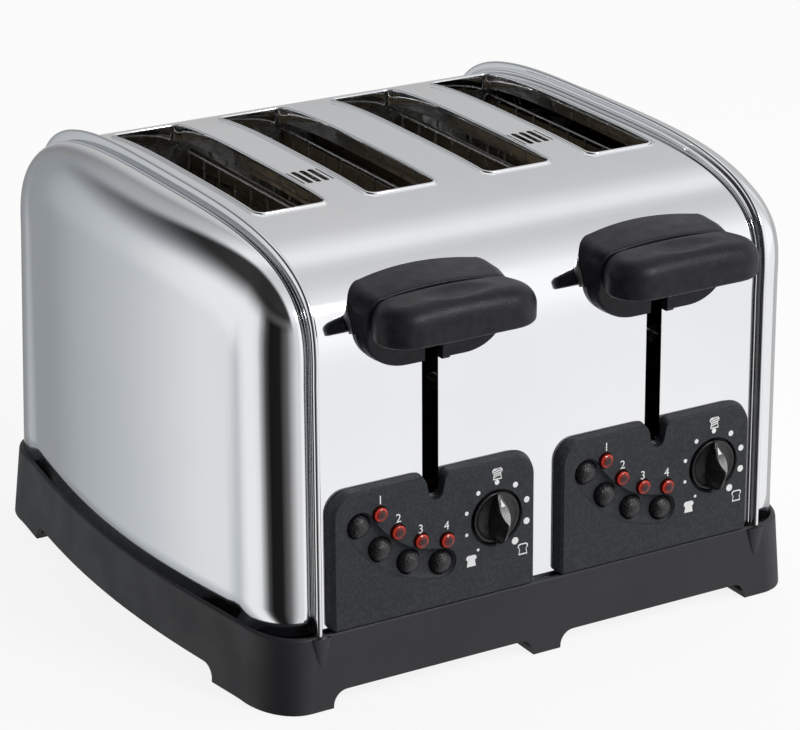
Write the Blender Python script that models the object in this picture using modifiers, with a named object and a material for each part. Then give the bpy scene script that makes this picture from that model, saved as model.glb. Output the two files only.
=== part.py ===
"""Four-slice bagel toaster with two lifting levers. Metres, +Z up, the controls face -Y."""

import math

import bmesh
import bpy
from mathutils import Matrix, Vector

# Gaps, overruns and roundness
fit_gap = 0.0003
slide_gap = 0.0005
overrun = 0.004
overlap = 0.0004
arch_steps = 10
round_steps = 3
sides_fine = 20
sides_small = 10
smooth_angle = math.radians(35)

# Chrome body: an arch from front to rear, between two end caps
half_depth = 0.1291
shoulder_z = 0.1521
crown_rise = 0.0539
arch_power = 3.41
lean = 0.035
sheet = 0.0010

# Rims where the body meets the end caps
rim_outer_x = 0.1209
rim_width = 0.0044
rim_proud = 0.0046
rim_step = 0.0018
rim_sunk = 0.0025
rim_edge_share = 0.88
rim_fillet_share = 0.30

# End caps
cap_corner_x = 0.0208
cap_corner_y = 0.0280
cap_bow = 0.0092
bow_power = 1.5
cap_sheet = 0.0012
cap_inner_share = 1.5
cap_steps = 4
cap_rows = 2

# Base
base_top_z = 0.0357
base_front_reach = 0.0039
base_side_reach = 0.0010
base_half_depth = half_depth + lean * (shoulder_z - base_top_z) + base_front_reach
base_half_width = rim_outer_x + fit_gap + cap_corner_x + base_side_reach
base_flare = 0.0023
base_corner_x = 0.0200
base_corner_y = 0.0280
base_wall = 0.0026
base_round = 0.0016
base_edge_share = 0.30
sole_width = 0.0140
sole_thick = 0.0025
opening_z = 0.0081
groove_width = 0.0034
groove_depth = 0.0024
ledge_width = 0.0125
ledge_thick = 0.0012
ledge_z = base_top_z - groove_depth
body_bottom_z = ledge_z + fit_gap
seat_z = base_top_z + fit_gap
plan_corner_steps = 5
plan_side_steps = 6
foot_width_x = 0.0296
foot_width_y = 0.0471
corner_foot_x = base_half_width - foot_width_x
corner_foot_y = base_half_depth - foot_width_y
middle_foot_half = 0.00725
foot_arch_radius = 0.0070
fairing_half = 0.0045
fairing_tip_z = 0.0225
fairing_proud = 0.0042
fairing_tip_shares = (0.25, 0.125)
fairing_side_share = 0.25

# Bread slots
slot_inner_x = 0.03125
slot_outer_x = 0.08875
slot_half = 0.0175
slot_front_inset = 0.0701
slot_front_y = -half_depth + slot_front_inset
slot_rear_inset = 0.0471
slot_rear_y = half_depth - slot_rear_inset
slot_corner = 0.0040
lip_width = 0.0016
lip_rise = 0.0012
lip_drop = 0.0070
vent_length = 0.0175
vent_width = 0.0028
vent_pitch = 0.0043
vent_count = 5
vent_middle_y = -0.0250
lever_x = 0.0600

# Lever slot, panels and what they carry, from the lever's own x
lever_slot_half = 0.0042
lever_slot_low_z = 0.0890
lever_slot_high_z = 0.1860
panel_left = 0.0542
panel_right = 0.0538
panel_low_z = seat_z
panel_high_z = 0.1005
panel_proud = 0.0050
panel_side_draft = 0.0026
panel_top_draft = 0.0019
panel_round = 0.0012
panel_edge_share = 0.25
panel_corner_top = 0.0110
panel_corner_low = 0.0032
panel_wall = 0.0026
notch_low_z = 0.0880
notch_half_low = 0.0038
notch_half_mid = 0.0046
notch_half_high = 0.0078
notch_flare = 0.0034

# Browning knob, with a fin across it as (height along the knob, foot, crest and reach) shares
knob_x = 0.0319
knob_z = 0.0726
knob_radius = 0.0120
knob_height = 0.0019
knob_edge = 0.0006
fin_half = 0.0042
fin_reach = 0.0107
fin_shares = (
    (0.98, 0.15, 0.08, 0.13),
    (0.67, 0.60, 0.42, 0.40),
    (0.33, 0.88, 0.55, 0.70),
    (0.00, 1.00, 0.07, 1.00),
    (-0.33, 1.00, 0.12, 0.90),
    (-0.69, 0.84, 0.19, 0.74),
    (-0.92, 0.57, 0.24, 0.47),
    (-0.99, 0.28, 0.14, 0.15),
)
knob_ring = 0.0014
knob_well = 0.0016
shaft_radius = 0.0030
pot_radius = 0.0080
pot_depth = 0.0100
pot_bush_radius = 0.0046
pot_bush_length = 0.0030

# Push buttons and lamps, on two arcs about one centre
arc_x = 0.0070
arc_z = 0.1103
button_count = 4
button_arc = 0.0535
button_start = math.radians(30.6)
button_pitch = math.radians(18.5)
lamp_arc = 0.0427
lamp_start = math.radians(32.2)
lamp_pitch = math.radians(18.6)
button_radius = 0.0055
button_flange = 0.0011
button_flange_thick = 0.0010
button_proud = 0.0022
button_dome = 0.0016
button_stem_radius = 0.0018
button_travel = 0.0015
button_hole_gap = 0.0004
recess_width = 0.0140
recess_depth = 0.0012
lamp_radius = 0.0035
lamp_dome = 0.0020
lamp_proud = 0.0006
lamp_bar_proud = 0.0013
lamp_bar_radius = 0.0008
lamp_bar_sides = 6
dome_shares = ((0.45, 0.88), (0.80, 0.55))
post_radius = 0.0028
post_inset = 0.0060
post_upper_share = 0.25
pocket_side = 0.0038
pocket_left_end = -0.0120
pocket_left_z = 0.0935
switch_half = 0.0020
switch_depth = 0.0035

# Boards behind the panels, and the windows in the chrome that they are reached by
window_low_z = 0.0470
window_high_z = 0.0868
board_margin = 0.0009
board_low_z = 0.0485
board_high_z = 0.0862
board_thick = 0.0016
board_behind = 0.0084

# Fixed hood behind the grip, by how far it reaches from the chrome's front
hood_reach = 0.0074
hood_middle_reach = -0.0020
hood_rear_reach = -0.0241
hood_edge = 0.0008
hood_notch_low_z = 0.1500
hood_notch_high_z = 0.1860
hood_half_front = 0.0364
hood_half_middle = 0.0390
hood_half_rear = 0.0392
hood_low_z = 0.1705
hood_side_z = 0.1880
hood_side_rear_z = 0.1914
hood_crown = 0.0022
hood_crown_rear = 0.0014
hood_crown_shares = ((0.50, 0.75), (0.17, 0.97))
hood_corner = 0.0080
hood_corner_rear = 0.0110
hood_wall = 0.0030
hood_seat_gap = 0.0003
skirt_reach = 0.0054
skirt_edge = 0.0016
skirt_half_front = 0.0346
skirt_half_rear = 0.0380
skirt_flat_half = 0.0150
skirt_z = 0.1536
skirt_corner_z = 0.0170
hood_slot_half = 0.0064

# Lever grip
grip_gap = 0.0022
grip_depth = 0.0238
grip_side_depth = 0.0108
grip_half_middle = 0.0393
grip_half_rear = 0.0364
grip_low_z = 0.1722
grip_top_z = 0.1902
grip_corner_x = 0.0160
grip_round = 0.0090
grip_edge = 0.0016
grip_middle_share = 0.45
grip_rear_share = 0.25
grip_crown = 0.0014
grip_crown_half = 0.0310
grip_wall = 0.0085
dish_half_x = 0.0180
dish_half_y = 0.0078
thumb_dish = 0.0018
dish_behind = 0.0128

# Lever, carriage and rack
lever_travel = 0.0660
arm_half = 0.0016
arm_low_z = 0.1765
arm_high_z = 0.1835
arm_drop_inset = 0.0241
arm_drop_y = -half_depth + arm_drop_inset
arm_drop_depth = 0.0100
carriage_z = 0.1450
carriage_height = 0.0120
carriage_front_inset = 0.0291
carriage_front_y = -half_depth + carriage_front_inset
carriage_rear_inset = 0.0546
carriage_rear_y = -half_depth + carriage_rear_inset
carriage_half_x = 0.0360
hub_radius = 0.0060
hub_high = 0.0090
rod_inset = 0.0431
rod_y = -half_depth + rod_inset
rod_radius = 0.0025
rod_bore_gap = 0.00030
rod_high_z = 0.1960
bracket_z = 0.1880
bracket_half_x = 0.0100
bracket_front_inset = 0.0351
bracket_front_y = -half_depth + bracket_front_inset
armature_half_x = 0.0120
armature_thick = 0.0020
rack_half_width = 0.0065
rack_rear_inset = 0.0491
rack_rear_y = half_depth - rack_rear_inset
rack_z = carriage_z + armature_thick
rack_thick = 0.0020
rack_bar = 0.0022
rack_cross_count = 6
rack_neck_half = 0.0012
rack_neck_height = 0.0120
rack_neck_reach = 0.0060

# Lift spring round the guide rod
spring_radius = 0.0048
spring_wire = 0.0006
spring_turns = 8
spring_points = 8

# Magnet and its bracket
magnet_inset = 0.0326
magnet_y = -half_depth + magnet_inset
magnet_half_x = 0.0085
magnet_depth = 0.0130
magnet_low_z = 0.0470
magnet_offset_x = 0.0200

# Chassis
chassis_thick = 0.0014
chassis_z = ledge_z - ledge_thick - fit_gap - chassis_thick
front_wall_inset = 0.0631
front_wall_y = -half_depth + front_wall_inset
rear_wall_inset = 0.0401
rear_wall_y = half_depth - rear_wall_inset
wall_thick = 0.0010
wall_half_x = 0.1175
wall_high_z = 0.1960
rack_slot_half = 0.0022
rack_slot_low_z = 0.0720
rack_slot_high_z = 0.1640
card_thick = 0.0010
card_low_z = 0.0400
card_high_z = 0.1880
card_bar_count = 4
card_tab = 0.0030
card_tab_rise = 0.0120
ribbon_half = 0.0020
ribbon_proud = 0.0003
card_offset = 0.0225

# Bread guides
guide_open = 0.0185
guide_travel = 0.0080
guide_thick = 0.0014
guide_low_z = 0.0920
guide_high_z = 0.1930
guide_frame = 0.0030
guide_bar = 0.0012
guide_bar_count = 8
guide_tab_low_z = 0.1080
guide_tab_height = 0.0080
guide_tab_up_z = 0.1680

# Bottom plate, trays, inlet
bottom_z = 0.0084
bottom_thick = 0.0014
bottom_inset = 0.0003
tray_inner_x = 0.0125
tray_outer_x = 0.1090
tray_front_inset = 0.0651
tray_front_y = -half_depth + tray_front_inset
tray_rear_inset = 0.0041
tray_face_inset = 0.0009
tray_handle_reach = 0.0019
tray_rear_y = base_half_depth - tray_rear_inset
tray_low_z = 0.0130
tray_height = 0.0130
tray_wall = 0.0008
tray_lip = 0.0010
tray_face_y = base_half_depth - tray_face_inset
tray_handle_y = base_half_depth + tray_handle_reach
tray_handle_thick = 0.0020
tray_handle_grip = 0.0100
rail_height = 0.0030
rail_thick = 0.0010
rail_shelf = 0.0040
inlet_z = 0.0225
inlet_radius = 0.0066
inlet_flange = 0.0090
inlet_length = 0.0240
inlet_tip_radius = 0.0049
inlet_bore = 0.0035
inlet_snap = 0.0010
inlet_flange_thick = 0.0008
inlet_flange_gap = 0.0003

# Finishes: colour, roughness, metallic
chrome = ((0.62, 0.63, 0.65), 0.06, 1.0)
steel = ((0.55, 0.55, 0.55), 0.35, 1.0)
panel_plastic = ((0.036, 0.040, 0.046), 0.55, 0.0)
base_plastic = ((0.028, 0.030, 0.033), 0.50, 0.0)
grip_plastic = ((0.012, 0.012, 0.013), 0.35, 0.0)
lamp_red = ((0.55, 0.02, 0.01), 0.15, 0.0)
mica = ((0.48, 0.40, 0.28), 0.60, 0.0)
board_green = ((0.03, 0.18, 0.08), 0.50, 0.0)

# Places that follow from the sizes
hood_front_y = -half_depth - hood_reach
skirt_front_y = -half_depth - skirt_reach
grip_rear_y = hood_front_y - grip_gap
grip_front_y = grip_rear_y - grip_depth
grip_middle_y = grip_rear_y - grip_side_depth
arm_tip_y = grip_front_y + grip_wall
dish_y = grip_front_y + dish_behind
grip_to_rear = base_half_depth + base_flare - grip_front_y
centre_shift = grip_to_rear / 2 - (base_half_depth + base_flare)

for leftover in list(bpy.data.objects):
    bpy.data.objects.remove(leftover)

pieces = bpy.data.collections.new("bagel_toaster")
cutters = bpy.data.collections.new("cutters")
bpy.context.scene.collection.children.link(pieces)
bpy.context.scene.collection.children.link(cutters)
toaster = bpy.data.objects.new("toaster", None)
toaster.location.y = centre_shift
pieces.objects.link(toaster)


def solid(name, bm, finish=None):
    """An object from a bmesh, under the toaster's empty. Without a finish it is a helper."""
    bmesh.ops.recalc_face_normals(bm, faces=bm.faces)
    mesh = bpy.data.meshes.new(name)
    bm.to_mesh(mesh)
    bm.free()
    return placed(name, mesh, finish)


def placed(name, mesh, finish):
    piece = bpy.data.objects.new(name, mesh)
    piece.parent = toaster
    if finish is None:
        cutters.objects.link(piece)
        piece.hide_render = True
        piece.display_type = "WIRE"
        return piece
    pieces.objects.link(piece)
    for polygon in mesh.polygons:
        polygon.use_smooth = True
    mesh.set_sharp_from_angle(angle=smooth_angle)
    colour, roughness, metallic = finish
    material = bpy.data.materials.new(name)
    material.use_nodes = True
    shader = material.node_tree.nodes["Principled BSDF"]
    shader.inputs["Base Color"].default_value = (*colour, 1)
    shader.inputs["Roughness"].default_value = roughness
    shader.inputs["Metallic"].default_value = metallic
    mesh.materials.append(material)
    return piece


def box(name, low, high, finish=None):
    bm = bmesh.new()
    bmesh.ops.create_cube(bm, size=1)
    bmesh.ops.scale(bm, vec=Vector(high) - Vector(low), verts=bm.verts)
    bmesh.ops.translate(bm, vec=(Vector(high) + Vector(low)) / 2, verts=bm.verts)
    return solid(name, bm, finish)


def rod(name, start, end, radius, finish=None, end_radius=None, sides=sides_small):
    """A cylinder, or a cone, from one point to another."""
    start, end = Vector(start), Vector(end)
    bm = bmesh.new()
    last = radius if end_radius is None else end_radius
    length = (end - start).length
    bmesh.ops.create_cone(
        bm, cap_ends=True, segments=sides, radius1=radius, radius2=last, depth=length
    )
    turn = (end - start).to_track_quat("Z", "Y").to_matrix().to_4x4()
    bmesh.ops.transform(bm, matrix=Matrix.Translation((start + end) / 2) @ turn, verts=bm.verts)
    return solid(name, bm, finish)


def turned(name, profile, centre, finish=None, sides=sides_fine):
    """A profile of (radius, distance to the front of centre) turned about a line along Y."""
    mesh = bpy.data.meshes.new(name)
    points = [(radius, 0, height) for radius, height in profile]
    mesh.from_pydata(points, [(i, i + 1) for i in range(len(points) - 1)], [])
    piece = placed(name, mesh, finish)
    piece.location = centre
    piece.rotation_euler.x = math.pi / 2
    screw = piece.modifiers.new("turn", "SCREW")
    screw.axis = "Z"
    screw.steps = sides
    screw.render_steps = sides
    screw.use_merge_vertices = True
    screw.merge_threshold = 1e-5
    return piece


def loft(name, rings, finish=None):
    """A closed solid through rings of equally many points, capped at both ends."""
    bm = bmesh.new()
    rows = [[bm.verts.new(point) for point in ring] for ring in rings]
    for low, high in zip(rows, rows[1:]):
        for i in range(len(low)):
            j = (i + 1) % len(low)
            bm.faces.new((low[i], low[j], high[j], high[i]))
    bm.faces.new(reversed(rows[0]))
    bm.faces.new(rows[-1])
    return solid(name, bm, finish)


def ring_loft(name, rings, finish=None):
    """A closed solid through rings of equally many points, the last joined to the first."""
    bm = bmesh.new()
    rows = [[bm.verts.new(point) for point in ring] for ring in rings]
    for low, high in zip(rows, rows[1:] + rows[:1]):
        for i in range(len(low)):
            j = (i + 1) % len(low)
            bm.faces.new((low[i], low[j], high[j], high[i]))
    return solid(name, bm, finish)


# Where a flat plate's own x, y and thickness point in the toaster
planes = {
    "xy": Matrix(((1, 0, 0, 0), (0, 1, 0, 0), (0, 0, 1, 0), (0, 0, 0, 1))),
    "xz": Matrix(((1, 0, 0, 0), (0, 0, -1, 0), (0, 1, 0, 0), (0, 0, 0, 1))),
    "yz": Matrix(((0, 0, 1, 0), (1, 0, 0, 0), (0, 1, 0, 0), (0, 0, 0, 1))),
}


def prism(name, outline, plane, low, high, finish=None):
    """A flat outline without holes made a solid from low to high along the plane's own axis."""
    rings = [[planes[plane] @ Vector((x, y, 0)) for x, y in outline] for _ in (low, high)]
    axis = {"xy": Vector((0, 0, 1)), "xz": Vector((0, 1, 0)), "yz": Vector((1, 0, 0))}[plane]
    for ring, height in zip(rings, (low, high)):
        for point in ring:
            point += axis * height
    return loft(name, rings, finish)


def plate(name, outlines, plane, low, high, finish=None):
    """A flat plate with its holes from low to high along the plane's own axis."""
    curve = bpy.data.curves.new(name, "CURVE")
    curve.dimensions = "2D"
    curve.fill_mode = "BOTH"
    curve.extrude = (high - low) / 2
    for outline in outlines:
        spline = curve.splines.new("POLY")
        spline.points.add(len(outline) - 1)
        for point, (x, y) in zip(spline.points, outline):
            point.co = (x, y, 0, 1)
        spline.use_cyclic_u = True
    drawn = bpy.data.objects.new(name, curve)
    bpy.context.scene.collection.objects.link(drawn)
    mesh = bpy.data.meshes.new_from_object(
        drawn.evaluated_get(bpy.context.evaluated_depsgraph_get())
    )
    bpy.data.objects.remove(drawn)
    bm = bmesh.new()
    bm.from_mesh(mesh)
    bmesh.ops.remove_doubles(bm, verts=bm.verts, dist=1e-6)
    middle = (low + high) / 2
    along = {"xy": (0, 0, middle), "xz": (0, middle, 0), "yz": (middle, 0, 0)}[plane]
    bmesh.ops.transform(bm, matrix=Matrix.Translation(along) @ planes[plane], verts=bm.verts)
    return solid(name, bm, finish)


def rectangle(left, right, low, high, corner=0, steps=round_steps):
    """Outline of a rectangle with round corners, counter-clockwise."""
    if not corner:
        return [(left, low), (right, low), (right, high), (left, high)]
    middles = (
        (right - corner, low + corner, -math.pi / 2),
        (right - corner, high - corner, 0),
        (left + corner, high - corner, math.pi / 2),
        (left + corner, low + corner, math.pi),
    )
    points = []
    for x, y, start in middles:
        for i in range(steps + 1):
            angle = start + math.pi / 2 * i / steps
            points.append((x + corner * math.cos(angle), y + corner * math.sin(angle)))
    return points


def stepped(left, middle, right, low, high, right_high):
    """Outline of a rectangle whose right part is lower, counter-clockwise."""
    top = [(right, right_high), (middle, right_high), (middle, high), (left, high)]
    return [(left, low), (right, low)] + top


def combine(piece, other, operation):
    modifier = piece.modifiers.new(other.name, "BOOLEAN")
    modifier.operation = operation
    modifier.object = other


def cut(piece, *others):
    for other in others:
        combine(piece, other, "DIFFERENCE")


def join(piece, *others):
    for other in others:
        combine(piece, other, "UNION")


def boxes(name, spans, finish=None):
    """Several separate boxes in one object, each from its low to its high corner."""
    bm = bmesh.new()
    for low, high in spans:
        made = bmesh.ops.create_cube(bm, size=1)["verts"]
        bmesh.ops.scale(bm, vec=Vector(high) - Vector(low), verts=made)
        bmesh.ops.translate(bm, vec=(Vector(high) + Vector(low)) / 2, verts=made)
    return solid(name, bm, finish)


def arch(offset, bottom_z):
    """Outline (y, z) of the body, front bottom to rear bottom over the top, moved outward."""
    depth = half_depth + offset
    rise = crown_rise + offset
    side = [(depth + lean * (shoulder_z - bottom_z), bottom_z)]
    for i in range(arch_steps + 1):
        angle = math.pi / 2 * i / arch_steps
        y = depth * max(0, math.cos(angle)) ** (2 / arch_power)
        side.append((y, shoulder_z + rise * math.sin(angle) ** (2 / arch_power)))
    return [(-y, z) for y, z in side] + [(y, z) for y, z in reversed(side[:-1])]


def skin_y(z):
    """The front of the chrome body at a height below its shoulder."""
    return -half_depth - lean * (shoulder_z - z)


def crown_z(y):
    """The height of the chrome body's top over y."""
    return shoulder_z + crown_rise * (1 - (abs(y) / half_depth) ** arch_power) ** (1 / arch_power)


def bowed(y, half_length):
    """How far a side wall bulges at y, as a share of its greatest bulge."""
    return max(0, 1 - (y / half_length) ** 2) ** bow_power


def arch_sweep(name, section, bottom_z, finish=None):
    """A section of (x, offset) points swept along the body's arch."""
    paths = [arch(offset, bottom_z) for _, offset in section]
    rings = []
    for i in range(len(paths[0])):
        rings.append([(x, *path[i]) for (x, _), path in zip(section, paths)])
    return loft(name, rings, finish)


def arch_block(name, offset):
    """The whole space inside the body's arch, as a cutter."""
    rings = [[(x, y, z) for y, z in arch(offset, body_bottom_z)] for x in (-rim_outer_x, rim_outer_x)]
    return loft(name, rings)


def arc_places(radius, start, pitch):
    """Places (x, z) of the buttons or lamps from the lever's own x."""
    angles = [start + i * pitch for i in range(button_count)]
    return [(arc_x - radius * math.cos(angle), arc_z - radius * math.sin(angle)) for angle in angles]


def plan(offset, z):
    """The base's outline at an outward offset and a height."""
    depth = base_half_depth + offset
    width = base_half_width + offset
    straight = depth - base_corner_y
    side = []
    for i in range(plan_side_steps + 1):
        y = straight * (2 * i / plan_side_steps - 1)
        side.append((width + cap_bow * bowed(y, straight), y))
    corner = []
    for i in range(1, plan_corner_steps + 1):
        angle = math.pi / 2 * i / plan_corner_steps
        x = width - base_corner_x * (1 - math.cos(angle))
        corner.append((x, straight + base_corner_y * math.sin(angle)))
    right = [(x, -y) for x, y in reversed(corner)] + side + corner
    return [(x, y, z) for x, y in right] + [(-x, -y, z) for x, y in right]


def flare(z):
    """The base's outward offset at a height."""
    return base_flare * (1 - z / base_top_z)


def mirrored(side, name):
    return name + ("_left" if side < 0 else "_right")


# Chrome body wrap
wrap_half = rim_outer_x - rim_width - fit_gap
body_wrap = arch_sweep(
    "body_wrap",
    ((-wrap_half, -sheet), (wrap_half, -sheet), (wrap_half, 0), (-wrap_half, 0)),
    body_bottom_z,
    chrome,
)
slot_centres = [side * x for side in (-1, 1) for x in (slot_inner_x, slot_outer_x)]
button_places = arc_places(button_arc, button_start, button_pitch)
lamp_places = arc_places(lamp_arc, lamp_start, lamp_pitch)
flange_reach = button_radius + button_flange + 2 * slide_gap
window_half_x = flange_reach - button_places[0][0]
window_left_z = button_places[0][1] + flange_reach
board_half_x = board_margin + switch_half - button_places[0][0]
board_front_y = skin_y(board_high_z) + board_behind
lip_section = (
    (0, -lip_drop),
    (0, lip_rise / 2),
    (lip_width / 2, lip_rise),
    (lip_width, lip_rise / 2),
    (lip_width, -sheet - overlap),
    (lip_width / 2, -lip_drop),
)
for centre in slot_centres:
    rings = []
    for outward, rise in lip_section:
        wide, corner = slot_half + outward, slot_corner + outward
        low_y, high_y = slot_front_y - outward, slot_rear_y + outward
        outline = rectangle(centre - wide, centre + wide, low_y, high_y, corner)
        rings.append([(x, y, crown_z(y) + rise) for x, y in outline])
    lip = ring_loft("slot_lip", rings)
    middle = lip_width / 2
    hole_outline = rectangle(
        centre - slot_half - middle,
        centre + slot_half + middle,
        slot_front_y - middle,
        slot_rear_y + middle,
        slot_corner + middle,
    )
    low_z, high_z = shoulder_z, shoulder_z + crown_rise + overrun
    cut(body_wrap, prism("slot_hole", hole_outline, "xy", low_z, high_z))
    join(body_wrap, lip)
for side in (-1, 1):
    x = side * lever_x
    spans = []
    for i in range(vent_count):
        across = (i - (vent_count - 1) / 2) * vent_pitch + x
        spans.append(
            (
                (across - vent_width / 2, vent_middle_y - vent_length / 2, shoulder_z),
                (across + vent_width / 2, vent_middle_y + vent_length / 2, high_z),
            )
        )
    cut(body_wrap, boxes("vents", spans))
    slot_outline = rectangle(
        x - lever_slot_half, x + lever_slot_half, lever_slot_low_z, lever_slot_high_z, lever_slot_half
    )
    front = skin_y(0) - overrun
    cut(body_wrap, prism("lever_slot", slot_outline, "xz", front, slot_front_y - overrun))
    edges = (x - window_half_x, x + pocket_left_end, x + window_half_x)
    window = stepped(*edges, window_low_z, window_left_z, window_high_z)
    cut(body_wrap, prism("panel_window", window, "xz", front, slot_front_y))

# Rims over the joints with the end caps
for side in (-1, 1):
    inner = rim_outer_x - rim_width
    step_x = rim_outer_x - rim_width / 2
    section = (
        (inner, -rim_sunk),
        (rim_outer_x, -rim_sunk),
        (rim_outer_x, rim_proud * rim_edge_share),
        (rim_outer_x - rim_step / 2, rim_proud),
        (step_x, rim_proud * rim_edge_share),
        (step_x - rim_step * rim_fillet_share, rim_step),
        (inner, rim_step * rim_fillet_share),
    )
    arch_sweep(
        mirrored(side, "rim"),
        [(side * x, offset) for x, offset in section],
        seat_z,
        chrome,
    )

# End caps
for side in (-1, 1):
    joint_x = rim_outer_x + fit_gap
    wall_half = half_depth - cap_corner_y
    out_x = cap_sheet * cap_inner_share
    stages = [(cap_sheet, 0, 0), (cap_sheet, cap_sheet, 0), (0, out_x, 0)]
    for i in range(1, cap_steps + 1):
        angle = math.pi / 2 * i / cap_steps
        stages.append((cap_corner_y * (1 - math.cos(angle)), out_x, math.sin(angle)))
    for i in range(1, cap_rows + 1):
        rest = (crown_rise - cap_corner_y) * i / cap_rows
        stages.append((cap_corner_y + rest, out_x, 1))
    bm = bmesh.new()
    rows = []
    for inset, out, share in stages:
        row = []
        for y, z in arch(-inset, seat_z):
            bulge = cap_corner_x - out_x + cap_bow * bowed(y, wall_half)
            row.append(bm.verts.new((side * (joint_x + out + bulge * share), y, z)))
        rows.append(row)
    for low, high in zip(rows, rows[1:]):
        for i in range(len(low) - 1):
            bm.faces.new((low[i], low[i + 1], high[i + 1], high[i]))
    top = rows[-1][1:-1]
    inner_feet = [bm.verts.new((v.co.x, v.co.y, seat_z)) for v in top[1:-1]]
    feet = [rows[-1][0], *inner_feet, rows[-1][-1]]
    for i in range(len(top) - 1):
        bm.faces.new((feet[i], feet[i + 1], top[i + 1], top[i]))
    bmesh.ops.recalc_face_normals(bm, faces=bm.faces)
    if sum(face.normal.x * face.calc_area() for face in bm.faces) * side < 0:
        bmesh.ops.reverse_faces(bm, faces=bm.faces)
    mesh = bpy.data.meshes.new("end_cap")
    bm.to_mesh(mesh)
    bm.free()
    cap = placed(mirrored(side, "end_cap"), mesh, chrome)
    shell = cap.modifiers.new("sheet", "SOLIDIFY")
    shell.thickness = cap_sheet
    shell.offset = -1

# Plastic base: a skirt with an inner ledge above and soles at its feet
low_wall = flare(0) - base_wall
base_section = (
    (flare(0), 0),
    (0, base_top_z - base_round),
    (-base_round * base_edge_share, base_top_z - base_round * base_edge_share),
    (-base_round, base_top_z),
    (-groove_width, ledge_z),
    (-ledge_width, ledge_z),
    (-ledge_width, ledge_z - ledge_thick),
    (-base_wall, ledge_z - ledge_thick),
    (low_wall, sole_thick),
    (flare(0) - sole_width, sole_thick),
    (flare(0) - sole_width, 0),
)
base = ring_loft("base", [plan(offset, z) for offset, z in base_section], base_plastic)
far_y = base_half_depth + base_flare + overrun
far_x = base_half_width + base_flare + cap_bow + overrun
for side in (-1, 1):
    edges = sorted((side * corner_foot_x, side * middle_foot_half))
    opening = rectangle(*edges, -foot_arch_radius, opening_z, foot_arch_radius)
    cut(base, prism("front_opening", opening, "xz", -far_y, far_y))
opening = rectangle(-corner_foot_y, corner_foot_y, -foot_arch_radius, opening_z, foot_arch_radius)
cut(base, prism("side_opening", opening, "yz", -far_x, far_x))
for side in (-1, 1):
    middle = side * (rim_outer_x - rim_width / 2)
    rings = []
    stages = (
        (fairing_half, fairing_proud, base_top_z - base_round),
        (fairing_half * fairing_tip_shares[0], fairing_proud * fairing_tip_shares[1], fairing_tip_z),
    )
    for wide, proud, z in stages:
        outer = -base_half_depth - flare(z)
        rings.append(
            [
                (middle - wide, outer + base_wall / 2, z),
                (middle - wide, outer - proud * fairing_side_share, z),
                (middle - wide / 2, outer - proud / 2, z),
                (middle + wide / 2, outer - proud / 2, z),
                (middle + wide, outer - proud * fairing_side_share, z),
                (middle + wide, outer + base_wall / 2, z),
            ]
        )
    join(base, loft("fairing", rings))


def leaning(name, rings, finish=None):
    """A solid through (outline in x and z, height above the chrome's leaning front) rings."""
    placed_rings = []
    for outline, proud in rings:
        placed_rings.append([(x, skin_y(z) - proud, z) for x, z in outline])
    return loft(name, placed_rings, finish)


def panel_outline(x, share, lifted=0):
    """The control panel's outline with the notch for the lever, after a share of its draft."""
    side_in, top_in = share * panel_side_draft, share * panel_top_draft
    left, right = x - panel_left + side_in, x + panel_right - side_in
    low, high = panel_low_z + lifted, panel_high_z - top_in
    low_corner = panel_corner_low - side_in
    corner = panel_corner_top - side_in / 2
    points = []
    middles = (
        (left + low_corner, low + low_corner, math.pi, low_corner),
        (right - low_corner, low + low_corner, -math.pi / 2, low_corner),
        (right - corner, high - corner, 0, corner),
    )
    for middle_x, middle_z, start, radius in middles:
        for i in range(round_steps + 1):
            angle = start + math.pi / 2 * i / round_steps
            points.append((middle_x + radius * math.cos(angle), middle_z + radius * math.sin(angle)))
    points.append((x + notch_half_high, high))
    points.append((x + notch_half_mid, high - notch_flare))
    for i in range(2 * round_steps + 1):
        angle = -math.pi * i / (2 * round_steps)
        z = notch_low_z + notch_half_low
        points.append((x + notch_half_low * math.cos(angle), z + notch_half_low * math.sin(angle)))
    points.append((x - notch_half_mid, high - notch_flare))
    points.append((x - notch_half_high, high))
    for i in range(round_steps + 1):
        angle = math.pi / 2 * (1 + i / round_steps)
        points.append((left + corner * (1 + math.cos(angle)), high - corner * (1 - math.sin(angle))))
    return points


def circle_through(a, b, c):
    """Centre and radius of the circle through three points."""
    a, b, c = Vector(a), Vector(b), Vector(c)
    first, second = b - a, c - a
    cross = 2 * (first.x * second.y - first.y * second.x)
    lead, follow = first.length_squared, second.length_squared
    offset = Vector((second.y * lead - first.y * follow, first.x * follow - second.x * lead)) / cross
    return a + offset, offset.length


def crescent(x):
    """Outline of the recess that follows the buttons."""
    centre, radius = circle_through(button_places[0], button_places[2], button_places[3])
    angles = []
    for place in (button_places[0], button_places[-1]):
        angles.append(math.atan2(place[1] - centre.y, place[0] - centre.x) % (2 * math.pi))
    start, end = angles
    half = recess_width / 2
    steps = 3 * round_steps
    points = []
    for i in range(steps + 1):
        angle = start + (end - start) * i / steps
        reach = radius + half
        points.append((centre.x + reach * math.cos(angle), centre.y + reach * math.sin(angle)))
    for i in range(1, 2 * round_steps):
        angle = end + math.pi * i / (2 * round_steps)
        tip = centre + Vector((math.cos(end), math.sin(end))) * radius
        points.append((tip.x + half * math.cos(angle), tip.y + half * math.sin(angle)))
    for i in range(steps + 1):
        angle = end + (start - end) * i / steps
        reach = radius - half
        points.append((centre.x + reach * math.cos(angle), centre.y + reach * math.sin(angle)))
    for i in range(1, 2 * round_steps):
        angle = start + math.pi + math.pi * i / (2 * round_steps)
        tip = centre + Vector((math.cos(start), math.sin(start))) * radius
        points.append((tip.x + half * math.cos(angle), tip.y + half * math.sin(angle)))
    return [(x + across, z) for across, z in points]


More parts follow.
